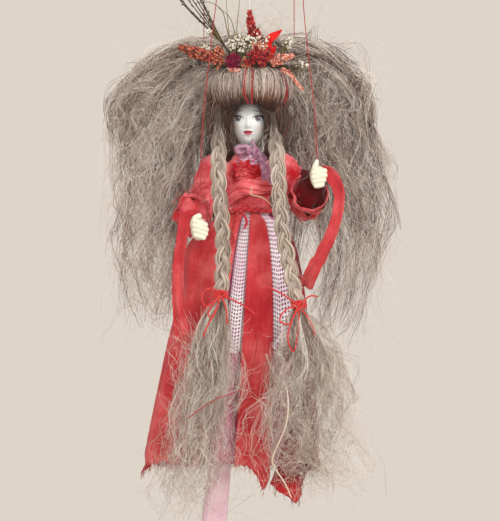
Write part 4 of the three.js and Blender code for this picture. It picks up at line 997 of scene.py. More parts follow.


# Loose hair: combed flax tow, crimped and springy, drawn from the crown over both sides and the back.
# It is fixed under the wreath and left to fall.
FIBRE_R, STRAY_R = 0.19, 0.13
WISP = 3
LOCK_POINTS, STRAY_POINTS = 30, 11
HAIR_LOCKS, SWEPT_LOCKS, CROWN_LOCKS = 70, 52, 40
# Tones of the layers: the loose hair under the swept locks is darker, partly as painted shade, and the swept locks
# over it are lighter, partly as a painted highlight; the rest is the tow's own uneven colour.
SIDE_COMB = dict(strands=1000, spread=4.0, size=4.6, points=14, wander=0.5, tone=0.34)
SWEPT_COMB = dict(strands=1320, spread=3.4, size=4.2, points=15, wander=0.4, tone=0.6)
BACK_COMB = dict(strands=1250, spread=4.2, size=2.6, points=14, short=0.55)
CROWN_COMB = dict(strands=700, spread=2.6, size=1.2, points=12)
SIDE_STRAYS = dict(strands=1250, apart=(6, 6, 6), length=(40, 120), curl=0.95)
BACK_STRAYS = dict(SIDE_STRAYS, strands=400, forward=1)
LEFT_GUIDES = [
    [(-12, 22, -104), (-45, 29, -98), (-80, 36, -107), (-112, 42, -132), (-125, 44, -158), (-116, 44, -190),
     (-116, 44, -225), (-119, 44, -255), (-126, 44, -276), (-121, 43, -300), (-113, 42, -328), (-102, 41, -348)],
    [(-14, 22, -106), (-40, 29, -102), (-68, 36, -114), (-92, 41, -138), (-104, 43, -166), (-100, 44, -195),
     (-99, 44, -228), (-101, 44, -258), (-105, 44, -282), (-104, 43, -305), (-100, 42, -330), (-95, 41, -350)],
    [(-15, 22, -109), (-36, 30, -106), (-55, 36, -122), (-70, 40, -148), (-76, 42, -176), (-76, 43, -205),
     (-78, 44, -235), (-80, 44, -262), (-84, 43, -288), (-86, 43, -312), (-86, 42, -332), (-86, 41, -350)],
    [(-16, 24, -112), (-34, 33, -114), (-44, 36, -130), (-47, 38, -150), (-50, 40, -180), (-53, 41, -212),
     (-58, 41, -245), (-62, 42, -275), (-67, 42, -305), (-72, 42, -330), (-76, 42, -345), (-80, 41, -352)],
]
RIGHT_GUIDES = [
    [(12, 22, -103), (45, 29, -97), (72, 36, -104), (96, 42, -126), (107, 44, -152), (112, 44, -180),
     (118, 44, -206), (123, 44, -233), (127, 44, -256), (123, 44, -282), (116, 43, -314), (102, 41, -350)],
    [(14, 22, -106), (40, 29, -101), (62, 36, -112), (80, 41, -136), (90, 43, -164), (95, 44, -192),
     (100, 44, -220), (106, 44, -248), (109, 44, -276), (106, 44, -306), (98, 43, -336), (84, 41, -366)],
    [(15, 22, -109), (36, 30, -106), (52, 36, -120), (62, 40, -146), (68, 42, -175), (72, 43, -204),
     (77, 44, -232), (84, 44, -260), (87, 44, -290), (85, 43, -320), (79, 42, -348), (70, 40, -374)],
    [(16, 24, -112), (34, 33, -114), (44, 36, -130), (47, 38, -150), (49, 40, -180), (51, 41, -212),
     (57, 41, -245), (63, 42, -275), (67, 42, -305), (68, 42, -330), (67, 42, -352), (64, 41, -370)],
]
LEFT_SWEEPS = [
    [(-14, 18, -104), (-55, 22, -102), (-95, 26, -120), (-122, 29, -150), (-127, 30, -172), (-114, 30, -186)],
    [(-16, 18, -110), (-52, 22, -116), (-86, 26, -140), (-106, 29, -170), (-112, 30, -198), (-104, 30, -216)],
    [(-20, 17, -120), (-45, 22, -136), (-72, 26, -164), (-94, 29, -196), (-110, 31, -228), (-121, 32, -258)],
    [(-30, 17, -134), (-43, 22, -158), (-60, 26, -186), (-78, 29, -218), (-94, 31, -250), (-104, 33, -288)],
    [(-40, 20, -148), (-46, 24, -178), (-54, 28, -208), (-64, 31, -240), (-76, 33, -274), (-88, 34, -312)],
]
RIGHT_SWEEPS = [
    [(16, 18, -103), (58, 22, -99), (88, 26, -116), (106, 29, -148), (114, 30, -184), (124, 31, -216)],
    [(18, 18, -110), (50, 22, -114), (76, 26, -140), (94, 29, -176), (106, 31, -212), (120, 32, -250)],
    [(26, 17, -122), (45, 22, -142), (62, 26, -174), (78, 29, -208), (94, 31, -242), (108, 32, -280)],
    [(34, 17, -136), (44, 22, -164), (53, 26, -196), (64, 29, -230), (79, 31, -266), (92, 33, -304)],
    [(42, 20, -150), (46, 24, -182), (51, 28, -216), (58, 31, -252), (66, 33, -290), (74, 34, -330)],
]
BACK_GUIDES = [
    [(0.5 * x, 24, -104), (0.8 * x, 37, -106), (x, 46, -116), (1.1 * x, 50, -140), (1.2 * x, 50, -170),
     (1.3 * x, 48, -200), (1.4 * x, 46, -230), (1.35 * x, 47, -262), (1.2 * x, 50, -300), (x, 51, -345)]
    for x in (-36, -18, 0, 18, 36)
]
CROWN_GUIDES = [
    [(-2, 8, -97), (-16, 14, -97), (-28, 18, -103), (-33, 20, -114), (-34, 20, -124)],
    [(-1, 14, -97), (-12, 24, -98), (-20, 30, -105), (-24, 33, -116), (-24, 33, -126)],
    [(0, 16, -97), (0, 26, -97), (0, 32, -103), (0, 35, -114), (0, 35, -126)],
    [(1, 14, -97), (12, 24, -98), (20, 30, -105), (24, 33, -116), (24, 33, -126)],
    [(2, 8, -97), (16, 14, -97), (28, 18, -103), (33, 20, -114), (34, 20, -124)],
]
flax, tree, shader = new_finish("flax", Roughness=0.55, Sheen_Weight=0.15, Specular_IOR_Level=0.4)
coat(tree, shader, ramp(tree, kept(tree, "tone"), (0, (62, 36, 26)), (0.3, (150, 116, 98)),
                        (0.62, (224, 203, 187)), (1, (252, 246, 234))))


def crimp(rng, strands, points, size, turns=(1, 2, 3, 4)):
    """Waves along each strand, in three directions, that grow towards its loose end."""
    run = np.linspace(0, 1, points)[None, :, None]
    wave = np.zeros((strands, points, 3))
    for count in turns:
        start = rng.uniform(0, 2 * np.pi, (strands, 1, 3))
        bend = count * rng.uniform(0.8, 1.2, (strands, 1, 3))
        wave += rng.normal(0, size / count**0.6, (strands, 1, 3)) * np.sin(2 * np.pi * bend * run + start)
    return wave * run**0.5


def along_lines(lines, owner, reach, points):
    """Point by point copies of the owners' lines, each cut to a share of its length."""
    place = np.linspace(0, 1, points)[None] * reach[:, None] * (lines.shape[1] - 1)
    low = np.minimum(place.astype(int), lines.shape[1] - 2)
    share = (place - low)[..., None]
    return lines[owner[:, None], low] * (1 - share) + lines[owner[:, None], low + 1] * share


def lay_locks(rng, guides, locks, deep, size):
    """Wavy middle lines of locks that lie between neighbouring guide lines."""
    drawn = np.array([smooth_line(guide, LOCK_POINTS) for guide in guides])
    place = np.sort(rng.uniform(0, len(guides) - 1.001, locks))
    low = place.astype(int)
    share = (place - low)[:, None, None]
    middle = drawn[low] * (1 - share) + drawn[low + 1] * share
    middle[:, :, 1] += rng.uniform(-deep, deep, (locks, 1)) * np.minimum(1, np.linspace(0, 4, LOCK_POINTS))
    return middle + crimp(rng, locks, LOCK_POINTS, size, (1, 2, 3))


def comb(rng, locks, strands, spread, size, points, short=0.3, wander=0.35, tone=0.42):
    """Strands round the locks, in wisps of a few that cling together; some wander to another lock."""
    wisps = strands // WISP
    owner = rng.integers(len(locks), size=wisps)
    reach = rng.uniform(short**0.6, 1.0, wisps) ** 1.7
    lines = along_lines(locks, owner, reach, points)
    strays = np.where(rng.random(wisps) < wander)[0]
    other = np.clip(owner[strays] + rng.integers(-16, 17, len(strays)), 0, len(locks) - 1)
    over = np.linspace(0, 1, points)[None, :, None] ** 1.3
    lines[strays] = lines[strays] * (1 - over) + along_lines(locks, other, reach[strays], points) * over
    loose = rng.choice([0.5, 1.0, 2.0], wisps, p=[0.6, 0.28, 0.12])[:, None, None]
    apart = np.clip(rng.normal(0, 1, (wisps, 1, 3)), -1.8, 1.8) * spread
    apart = apart * (0.35 + 0.65 * over) * np.clip(loose, 0.9, 1.5)
    lines += apart + crimp(rng, wisps, points, size, (1, 2, 4)) * loose
    each = np.repeat(np.arange(wisps), WISP)
    lines = lines[each] + rng.normal(0, 0.8, (len(each), 1, 3)) * (0.6 + 1.4 * over)
    lines += crimp(rng, len(each), points, 0.55 * size, (2, 3, 5))
    shade = tone + 0.3 * rng.normal(size=len(locks))[owner] + 0.24 * rng.normal(size=wisps)
    return lines, np.clip(shade[each] + 0.07 * rng.normal(size=len(each)), 0, 1)


def stray_hairs(rng, locks, strands, apart, length, curl, slack=(14, 30), forward=-1):
    """Short loose hairs that leave the locks in arcs of their own and mostly turn back towards them."""
    owner = rng.integers(len(locks), size=strands)
    place = 2 + (rng.random(strands) ** 1.25 * (locks.shape[1] - 4)).astype(int)
    root = locks[owner, place] + rng.normal(0, 1, (strands, 3)) * apart
    ahead = locks[owner, place + 1] - locks[owner, place - 1]
    wild = np.where(rng.random((strands, 1)) < 0.22, 1.0, 0.4) * curl
    heading = np.arctan2(ahead[:, 2], ahead[:, 0]) + rng.normal(0, 1, strands) * wild[:, 0]
    root[:, 1] += forward * apart[1]
    step = np.linspace(0, 1, STRAY_POINTS)[None]
    bend = 1.4 * rng.normal(0, 1, (strands, 1)) * wild * step
    for count in (1.5, 3.0):
        phase = rng.uniform(0, 6.3, (strands, 1))
        bend = bend + rng.normal(0, 1, (strands, 1)) * wild * np.sin(2 * np.pi * count * step + phase)
    dip = 0.35 * np.sin(2 * np.pi * step + rng.uniform(0, 6.3, (strands, 1)))
    move = np.stack([np.cos(heading[:, None] + bend), dip, np.sin(heading[:, None] + bend)], axis=2)
    away = np.cumsum(move * rng.uniform(*length, strands)[:, None, None] / STRAY_POINTS, axis=1)
    for axis, room in ((0, slack[0]), (2, slack[1])):
        low, high = np.percentile(locks[:, place, axis], (4, 96), axis=0)
        last = root[:, axis] + away[:, -1, axis]
        away[(last > high + room) | (last < low - room), :, axis] *= -0.6
    # The strays are lighter than the locks: partly a painted highlight on the loose hairs that stand out over them,
    # partly the tow's own pale fibres.
    return root[:, None] + away, np.clip(rng.normal(0.78, 0.22, strands), 0, 1)


def drawn_in(values, most, ease):
    """Coordinates beyond most, on the far side of zero, eased back towards it like hair that curls in."""
    past = np.maximum(values * np.sign(most) - abs(most), 0)
    return values - np.sign(most) * (past - ease * np.tanh(past / ease))


def hair_piece(name, lines, tones, radius=FIBRE_R, finish=flax, slot="flax"):
    """Mesh piece of strands that thin out towards their ends."""
    lines = np.array(lines)
    for axis, most, ease in ((0, -120, 15), (0, 124, 15), (1, -74, 10), (1, 54, 12)):
        lines[:, :, axis] = drawn_in(lines[:, :, axis], most, ease)
    taper = radius * np.linspace(1.1, 0.55, np.shape(lines)[1])[None]
    piece = fibre_piece(name, lines, taper, 3, tones)
    piece.data.materials.append(finish)
    return piece


# Each row: side, guides of its locks, guides of the locks swept over them, depth of the locks and size of
# their waves, how they are combed, their strays
hair_rng = np.random.default_rng(28)
for side, guides, sweeps, deep, size, combing, strays in [
    ("left", LEFT_GUIDES, LEFT_SWEEPS, 13, 10.0, SIDE_COMB, SIDE_STRAYS),
    ("right", RIGHT_GUIDES, RIGHT_SWEEPS, 13, 9.0, SIDE_COMB, SIDE_STRAYS),
    ("back", BACK_GUIDES, None, 6, 4.5, BACK_COMB, BACK_STRAYS),
]:
    locks = lay_locks(hair_rng, guides, HAIR_LOCKS, deep, size)
    layers = [hair_piece(side + "_loose_hair", *comb(hair_rng, locks, **combing))]
    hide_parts(side + "_hair")
    if sweeps:
        over = lay_locks(hair_rng, sweeps, SWEPT_LOCKS, 6, 8.5)
        layers.append(hair_piece(side + "_swept_hair", *comb(hair_rng, over, **SWEPT_COMB)))
        locks = np.concatenate([locks, over])
    layers.append(hair_piece(side + "_stray_hair", *stray_hairs(hair_rng, locks, **strays), STRAY_R))
    middle = np.mean([guide[3] for guide in guides], axis=0)
    for piece in layers:
        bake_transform(piece)
crown_locks = lay_locks(hair_rng, CROWN_GUIDES, CROWN_LOCKS, 3, 2.0)
crown = hair_piece("crown_tuft", *comb(hair_rng, crown_locks, **CROWN_COMB))
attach(crown, "head")
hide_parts("crown_hair")


# Hair roll: the front hair combed down over a pad and turned under all round the brow, with a higher
# edge over the face, and two drawn-back bands of it at the temples that lead to the braids.
ROLL_R = 37.5
ROLL_TOP_Z = -124
ROLL_HEIGHT = 41
HAIRLINE_RISE = 8
ROLL_STEPS = 60
ROLL_PROFILE = smooth_line([(0.55, -0.02), (0.7, 0), (0.92, 0.17), (1, 0.42), (0.96, 0.68), (0.84, 0.88),
                            (0.68, 1), (0.5, 0.93), (0.38, 0.84)], ROLL_STEPS)
ROLL_STRANDS, TEMPLE_STRANDS, BRIM_STRANDS = 1500, 260, 210
ROLL_FIBRE_R, TEMPLE_FIBRE_R, BRIM_FIBRE_R = 0.27, 0.26, 0.22
TEMPLE_PATH = [(15, -17, -160), (20, -15, -166), (22.5, -12, -176), (22, -8, -187), (20, -3, -198), (17, 3, -206)]
BRIM_BEND, TEMPLE_BEND = (-140, -158), (-164, -200)


def roll_point(azimuth, run, grow=0.0):
    """Point of the roll's skin; azimuth 0 is the front, run goes from the top round to the brow."""
    reach, drop = ROLL_PROFILE[min(ROLL_STEPS - 1, int(run * (ROLL_STEPS - 1)))]
    x = (reach * ROLL_R + grow) * math.sin(azimuth)
    y = -(reach * ROLL_R + grow) * math.cos(azimuth)
    arch = math.exp(-((x / 15) ** 2)) * min(1.0, max(0.0, (run - 0.45) / 0.3)) if y < 0 else 0.0
    return x, y, ROLL_TOP_Z - drop * ROLL_HEIGHT + HAIRLINE_RISE * arch


def multiplied(tree, one, other):
    """Colour socket of the product of two colour sockets."""
    node = add_node(tree, "Mix", data_type="RGBA", blend_type="MULTIPLY")
    node.inputs["Factor"].default_value = 1.0
    tree.links.new(one, node.inputs[6])
    tree.links.new(other, node.inputs[7])
    return node.outputs[2]


roll_finish, tree, shader = new_finish("combed_flax", Roughness=0.5, Sheen_Weight=0.15, Specular_IOR_Level=0.45)
# Painted light down the roll, by how far each strand has run: a painted highlight on its upper curve and painted
# shade, dark brown, underneath where the hair turns in. Each strand's own tone then raises or lowers this.
roll_highlight_and_shade = add_node(tree, "ValToRGB", Fac=kept(tree, "run"))
for place, colour in ((0.0, (146, 126, 112)), (0.12, (206, 190, 178)), (0.28, (208, 190, 177)),
                      (0.42, (172, 144, 126)), (0.52, (120, 78, 56)), (0.62, (74, 38, 25)), (0.99, (50, 24, 16))):
    roll_highlight_and_shade.color_ramp.elements.new(place).color = tint(*colour)
roll_highlight_and_shade.color_ramp.elements.remove(roll_highlight_and_shade.color_ramp.elements[0])
lift = add_node(tree, "ValToRGB", Fac=kept(tree, "tone"))
lift.color_ramp.elements[0].color = (0.22, 0.2, 0.19, 1)
lift.color_ramp.elements[1].color = (1.6, 1.6, 1.6, 1)
coat(tree, shader, multiplied(tree, roll_highlight_and_shade.outputs["Color"], lift.outputs["Color"]))

pad = closed_tube("roll_pad", lambda u, v: roll_point(2 * math.pi * u, v, -1.0), 72, 40)
pad_finish = new_finish("roll_pad", Base_Color=tint(112, 80, 54), Roughness=0.8)[0]
settle(pad, pad_finish, "flax", "head", "hair_roll")

lines = []
for azimuth in hair_rng.uniform(-math.pi, math.pi, ROLL_STRANDS):
    slant, out = hair_rng.normal(0, 0.11), abs(hair_rng.normal(0, 0.7)) + (hair_rng.random() < 0.07) * 2.4
    first, last = hair_rng.uniform(0, 0.3), hair_rng.uniform(0.75, 1.0)
    ease = hair_rng.uniform(0, 6.28)
    lines.append([roll_point(azimuth + slant * step + 0.02 * math.sin(7 * step + ease),
                             first + (last - first) * step, out * (0.6 + 0.4 * math.sin(5 * step + ease)))
                  for step in np.linspace(0, 1, 12)])
combed_tones = np.clip(hair_rng.normal(0.5, 0.24, ROLL_STRANDS), 0, 1)
combed = hair_piece("combed_roll", lines, combed_tones, ROLL_FIBRE_R, roll_finish)
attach(combed, "head")

temple_lines, temple_tones = [], []
for side in (-1, 1):
    path = smooth_line(TEMPLE_PATH, 12) * (side, 1, 1)
    apart = np.clip(hair_rng.normal(0, 1, (TEMPLE_STRANDS, 1, 3)), -2, 2) * (3.0, 3.0, 1.5)
    temple_lines.append(path[None] + apart + crimp(hair_rng, TEMPLE_STRANDS, 12, 0.5))
    # Painted shade: the temple bands get very dark tones, for the shade under the roll.
    temple_tones.append(np.clip(hair_rng.normal(0.06, 0.09, TEMPLE_STRANDS), 0, 1))
temples = hair_piece("temple_hair", np.concatenate(temple_lines), np.concatenate(temple_tones), TEMPLE_FIBRE_R)
brim_lines, brim_tones = [], []
for side in (-1, 1):
    for azimuth in hair_rng.uniform(0.86, 1.5, BRIM_STRANDS):
        root = Vector(roll_point(side * azimuth, hair_rng.uniform(0.5, 0.85)))
        fall, drift = hair_rng.uniform(14, 40), hair_rng.normal(0, 3, 3)
        tip = (root.x * 0.98 + drift[0], root.y * 0.7 + 2 + drift[1], root.z - fall)
        bulge = (root.x * 1.03 + drift[2], root.y * 0.95, root.z - 0.4 * fall)
        brim_lines.append(smooth_line([root, bulge, tip], 10))
        # Painted shade: the hairs hanging under the roll's brim get dark tones.
        brim_tones.append(np.clip(hair_rng.normal(0.16, 0.13), 0, 1))
under_brim = hair_piece("brim_hair", brim_lines, brim_tones, BRIM_FIBRE_R)
for piece, (upper, lower) in ((under_brim, BRIM_BEND), (temples, TEMPLE_BEND)):
    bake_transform(piece)


# Braids: three strands of flax plaited over each other and bound with red raffia, whose ends are left
# in loops and tails. Below the binding the flax is brushed out into a broad springy tassel.
BRAID_ROUTES = {
    "left": [(-27, -19, -162.1), (-27, -36, -199.5), (-26.5, -46, -229.5), (-23, -50, -270.5), (-23, -51, -300.5),
             (-25.5, -52, -330.5)],
    "right": [(21, -20, -164.8), (24.5, -36, -199.5), (26.5, -46, -229.5), (29, -50, -265.5), (35, -51, -297.5),
              (44, -52, -339.5)],
}
PLAIT_PERIOD = 45
PLAIT_SIDE, PLAIT_DEPTH = 4.2, 2.3
PLAIT_POINTS, PLAIT_FIBRES = 60, 52
PLAIT_CORE_R, PLAIT_FIBRE_R = 2.5, 0.36
# Each tassel: its middle line, its half widths and half depths down it
TASSELS = {
    "left": ([(-25.5, -54, -331), (-36, -57, -370), (-39, -59, -410), (-40, -60, -449), (-46, -60, -489),
              (-60, -58, -528)], [5, 19, 29, 27, 30, 22], [5, 12, 15, 16, 15, 9]),
    "right": ([(44, -54, -340), (50, -57, -373), (53, -59, -406), (58, -60, -439), (60, -60, -472),
               (54, -58, -505)], [5, 22, 38, 47, 41, 24], [5, 12, 15, 16, 15, 9]),
}
TASSEL_SWAY = {"left": 11, "right": 17}
TASSEL_POINTS, TASSEL_LOCKS = 24, 70
TASSEL_COMB = dict(strands=720, spread=3.0, size=4.2, points=15, short=0.4)
TASSEL_STRAYS = dict(strands=880, apart=(3, 5, 4), length=(28, 85), curl=0.85, slack=(7, 18), forward=0)
TASSEL_R, FUZZ_R = 0.15, 0.14
FUZZ_COUNT = 150
RAFFIA_TURNS, RAFFIA_POINTS, RAFFIA_R = 7, 40, 0.72

plaited_flax, tree, shader = new_finish("plaited_flax", Roughness=0.55, Sheen_Weight=0.15, Specular_IOR_Level=0.4)
tone = ramp(tree, kept(tree, "tone"), (0, (104, 82, 68)), (0.5, (208, 188, 170)), (1, (255, 246, 234)))
# Painted shade at the top of each braid, where it comes out from under the roll: near black at first, full colour
# further down.
braid_top_shade = add_node(tree, "ValToRGB", Fac=kept(tree, "run"))
braid_top_shade.color_ramp.elements[0].position = 0.06
braid_top_shade.color_ramp.elements[0].color = (0.16, 0.13, 0.11, 1)
braid_top_shade.color_ramp.elements[1].position = 0.24
coat(tree, shader, multiplied(tree, tone, braid_top_shade.outputs["Color"]))

braid_rng = np.random.default_rng(77)
for side, route in BRAID_ROUTES.items():
    middle = smooth_line(route, PLAIT_POINTS)
    steps = np.linalg.norm(np.diff(middle, axis=0), axis=1)
    run = np.concatenate([[0], np.cumsum(steps)])
    ahead = np.gradient(middle, axis=0)
    ahead /= np.linalg.norm(ahead, axis=1)[:, None]
    across = np.array([1.0, 0, 0]) - ahead * ahead[:, :1]
    across /= np.linalg.norm(across, axis=1)[:, None]
    front = np.cross(ahead, across)
    full = np.interp(run, [0, 14, 34, run[-1] - 8, run[-1]], [0.62, 0.7, 1, 1, 0.62])[:, None]
    plaited = np.interp(run, [10, 30], [0.25, 1])[:, None]
    lines, tones, thick = [], [], []
    for strand in range(3):
        turn = 2 * np.pi * (run / PLAIT_PERIOD + strand / 3)
        plait = middle + full * plaited * (across * (PLAIT_SIDE * np.sin(turn))[:, None]
                                           + front * (PLAIT_DEPTH * np.sin(2 * turn))[:, None])
        lines.append(plait)
        tones.append(0.25)
        thick.append(np.full(PLAIT_POINTS, PLAIT_CORE_R))
        for fibre in range(PLAIT_FIBRES):
            swing, out = braid_rng.uniform(0, 2 * np.pi), 3.1 * math.sqrt(braid_rng.uniform(0.45, 1))
            lean = swing + 0.5 * np.sin(run / 19 + swing)
            lines.append(plait + full * (across * (out * np.cos(lean))[:, None]
                                         + front * (0.85 * out * np.sin(lean))[:, None]))
            tones.append(np.clip(braid_rng.normal(0.5, 0.2), 0, 1))
            thick.append(np.full(PLAIT_POINTS, PLAIT_FIBRE_R))
    plait = fibre_piece(side + "_plait", lines, np.array(thick), 3, tones)
    settle(plait, plaited_flax, "flax", side + "_braid", side + "_braid")

    fuzz = []
    for start in braid_rng.integers(4, 56, FUZZ_COUNT):
        out = braid_rng.normal(0, 1, 3) * (1, 0.6, 0.4)
        root = middle[start] + across[start] * braid_rng.uniform(-6, 6) + front[start] * braid_rng.uniform(-2, 5)
        tip = root + out * 4 + (0, 0, -braid_rng.uniform(3, 9))
        fuzz.append(smooth_line([root, root + out * 2 + (0, 0, -2), tip], 6))
    centre, wide, deep = TASSELS[side]
    share = np.linspace(0, 1, TASSEL_POINTS)
    spine = smooth_line(centre, TASSEL_POINTS)
    broad, thickness = (np.interp(share * (len(half) - 1), range(len(half)), half) for half in (wide, deep))
    swing, out = braid_rng.uniform(0, 2 * np.pi, TASSEL_LOCKS), braid_rng.uniform(0.02, 1, TASSEL_LOCKS) ** 0.5
    middles = spine[None] + np.stack([np.outer(out * np.cos(swing), broad), np.outer(out * np.sin(swing), thickness),
                                      np.zeros((TASSEL_LOCKS, TASSEL_POINTS))], axis=2)
    hook = np.clip(share - 0.55, 0, 1)[None] ** 2 * braid_rng.normal(0, 1, (TASSEL_LOCKS, 1)) * 90
    sway = np.sin(2 * np.pi * (1.15 * share + 0.1 * braid_rng.normal(size=(TASSEL_LOCKS, 1))))
    middles[:, :, 0] += TASSEL_SWAY[side] * sway * share
    curled = crimp(braid_rng, TASSEL_LOCKS, TASSEL_POINTS, 9.0, (1, 2, 3))
    middles += curled + np.stack([hook, 0 * hook, 0.4 * np.abs(hook)], axis=2)
    lines, tones = comb(braid_rng, middles, **TASSEL_COMB)
    tassel = hair_piece(side + "_brush", lines, np.clip(tones + 0.2, 0, 1), TASSEL_R)
    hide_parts(side + "_tassel")
    loose = stray_hairs(braid_rng, middles[:, 4:], **TASSEL_STRAYS)
    strays = hair_piece(side + "_stray_brush", *loose, STRAY_R)
    flyaways = hair_piece(side + "_fuzz", fuzz, np.full(len(fuzz), 0.7), FUZZ_R)
    for piece in (tassel, strays, flyaways):
        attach(piece, side + "_braid")

RAFFIA = {
    "left": [[(-24, -61, -327), (-32, -66, -321), (-41, -66, -325), (-38, -66, -337), (-26, -62, -328)],
             [(-24, -61, -328), (-30, -67, -333), (-36, -68, -343), (-31, -67, -345), (-25, -62, -329)],
             [(-25, -62, -328), (-30, -68, -342), (-36, -72, -353), (-40, -76, -363)],
             [(-23, -62, -327), (-12, -66, -332), (-3, -66, -337), (5, -64, -343)],
             [(-24, -62, -328), (-20, -68, -339), (-19, -71, -352)]],
    "right": [[(15, -56, -319), (26, -60, -324), (38, -62, -332), (46, -62, -337)],
              [(43, -61, -337), (38, -66, -348), (34, -69, -364), (39, -70, -376), (43, -68, -358), (44, -62, -338)],
              [(44, -61, -337), (50, -66, -344), (55, -67, -353), (58, -68, -362)],
              [(43, -61, -336), (32, -65, -340), (27, -66, -349), (35, -66, -352), (43, -62, -339)],
              [(44, -61, -336), (53, -64, -328), (60, -64, -328)]],
}
for side, loops in RAFFIA.items():
    end = np.array(BRAID_ROUTES[side][-1])
    bound = []
    swing = np.linspace(0, 2 * np.pi, RAFFIA_POINTS)
    for turn in range(RAFFIA_TURNS):
        height = end[2] + 1.4 + 0.95 * turn + 0.4 * np.sin(3 * swing + turn)
        bound.append(np.column_stack([end[0] + (6.6 + 0.3 * np.sin(turn)) * np.cos(swing),
                                      end[1] + (5.9 + 0.3 * np.cos(turn)) * np.sin(swing), height]))
    bound += [smooth_line(loop, RAFFIA_POINTS) for loop in loops]
    knot = np.column_stack([np.cos(2 * swing), 0.7 * np.sin(3 * swing), np.sin(2 * swing + 0.6)])
    tie = fibre_piece(side + "_raffia", bound + [end + (2, -8, 4) + 2.4 * knot], RAFFIA_R, 5)
    raffia = twisted_finish(side + "_raffia", (196, 24, 22), (236, 58, 48), 180)
    settle(tie, raffia, "raffia", side + "_braid", side + "_tie")


# Headdress: a ring of twisted twigs laid on the roll, with dried flowers, grasses and leaves tucked
# into it. All of it is dry and papery, dyed red and orange or left brown, and is fixed to the head.
WREATH_R = 26
WREATH_Z = -120.7
WREATH_STRANDS, WREATH_TWIGS, WREATH_POINTS = 9, 26, 90
SPIKE_POINTS = 40
PETAL_WALL = 0.35
GRASS_FOOT = (-12, -9, -119)
STRAW_MIDDLE = np.array((-14.0, -30.5, -119.2))

flower_rng = np.random.default_rng(63)


def dried(name, *colours):
    """Dry petals and seeds: each one keeps its own tone of the ramp, over a fine shrivelled grain."""
    material, tree, shader = new_finish(name, Roughness=0.8, Sheen_Weight=0.2, Specular_IOR_Level=0.25)
    shrivel = mottling(tree, 500.0, 3.0)
    tone = stirred(tree, kept(tree, "tone"), shrivel, 0.5)
    stops = [(k / (len(colours) - 1), colour) for k, colour in enumerate(colours)]
    coat(tree, shader, ramp(tree, tone, *stops), shrivel, 0.6, 0.5)
    return material


twig = dried("dark_twig", (44, 32, 24), (78, 60, 44), (112, 92, 66))
olive = dried("olive_stem", (74, 66, 36), (110, 100, 58), (142, 132, 84))
crimson = dried("crimson_floret", (92, 8, 18), (150, 22, 30), (196, 52, 48), (226, 124, 96))
scarlet = dried("scarlet_leaf", (186, 12, 16), (222, 30, 28), (240, 66, 52))
rust = dried("rust_floret", (98, 42, 30), (178, 84, 60), (212, 122, 88), (232, 164, 128))
dark_rust = dried("dark_rust_floret", (72, 26, 20), (146, 60, 42), (190, 90, 62), (220, 134, 102))
salmon = dried("salmon_floret", (178, 84, 70), (226, 132, 110), (242, 170, 148), (252, 206, 188))
magenta = dried("magenta_bract", (84, 4, 34), (136, 14, 58), (180, 46, 88))
cream_bud = dried("cream_bud", (206, 192, 164), (234, 226, 206), (248, 244, 234))


def florets(name, finish, slot, rows, *nodes):
    """Piece of small ovals; a row is (centre, direction, length, width, tone), in mm."""
    bm = bmesh.new()
    tone = bm.verts.layers.float.new("tone")
    for centre, direction, length, width, shade in rows:
        turn = Vector(direction).to_track_quat("Z", "Y").to_matrix().to_4x4()
        size = Matrix.Diagonal((width / 2 * MM, width / 2 * MM, length / 2 * MM, 1))
        place = Matrix.Translation(Vector(centre) * MM) @ turn @ size
        for vert in bmesh.ops.create_icosphere(bm, subdivisions=1, radius=1, matrix=place)["verts"]:
            vert[tone] = shade
    settle(new_object(name, mesh_from(name, bm)), finish, slot, "head", *nodes)


def spike(route, girth, count, length, width, upward):
    """Rows of florets all round a stem, over the girth of the flower head from its foot to its tip."""
    stem = smooth_line(route, SPIKE_POINTS)
    ahead = np.gradient(stem, axis=0)
    rows = []
    for place in flower_rng.uniform(0, SPIKE_POINTS - 1, count).astype(int):
        along = ahead[place] / np.linalg.norm(ahead[place])
        out = np.cross(along, flower_rng.normal(size=3))
        out /= np.linalg.norm(out)
        reach = np.interp(place / (SPIKE_POINTS - 1), np.linspace(0, 1, len(girth)), girth)
        centre = stem[place] + out * reach * math.sqrt(flower_rng.uniform(0.3, 1))
        size = flower_rng.uniform(0.75, 1.25)
        rows.append((centre, out + along * upward, length * size, width * size, flower_rng.uniform(0, 1)))
    return rows


def cloud(centre, half, count, length, width, tone=(0, 1)):
    """Rows of florets scattered in an oval cloud, all turned outwards."""
    rows = []
    for _ in range(count):
        out = flower_rng.normal(size=3)
        out *= flower_rng.uniform(0.25, 1) ** 0.6 / np.linalg.norm(out)
        size = flower_rng.uniform(0.7, 1.3)
        rows.append((np.array(centre) + out * half, out + (0, -0.3, 0), length * size, width * size,
                     flower_rng.uniform(*tone)))
    return rows


def petals(name, finish, slot, rows, *nodes):
    """Piece of lens-shaped petals; a row is (foot, towards, face, length, width, cup, tone), in mm."""
    bm = bmesh.new()
    tone = bm.verts.layers.float.new("tone")
    for foot, towards, face, length, width, cup, shade in rows:
        ahead = Vector(towards).normalized()
        across = ahead.cross(Vector(face)).normalized()
        front = across.cross(ahead)
        made = bmesh.ops.create_grid(bm, x_segments=4, y_segments=7, size=0.5)["verts"]
        for vert in made:
            u, v = vert.co.x, vert.co.y + 0.5
            half = width * max(0.06, math.sin(math.pi * (0.06 + 0.92 * v**0.8)))
            lift = cup * v * v + 0.25 * width * (2 * u) ** 2 + 0.06 * length * math.sin(9 * v + 7 * shade)
            vert.co = (Vector(foot) + across * (u * half) + ahead * (v * length) + front * lift) * MM
            vert[tone] = min(1.0, max(0.0, shade + 0.25 * (v - 0.5)))
    piece = thicken(new_object(name, mesh_from(name, bm)), "paper", PETAL_WALL)
    settle(piece, finish, slot, "head", *nodes)


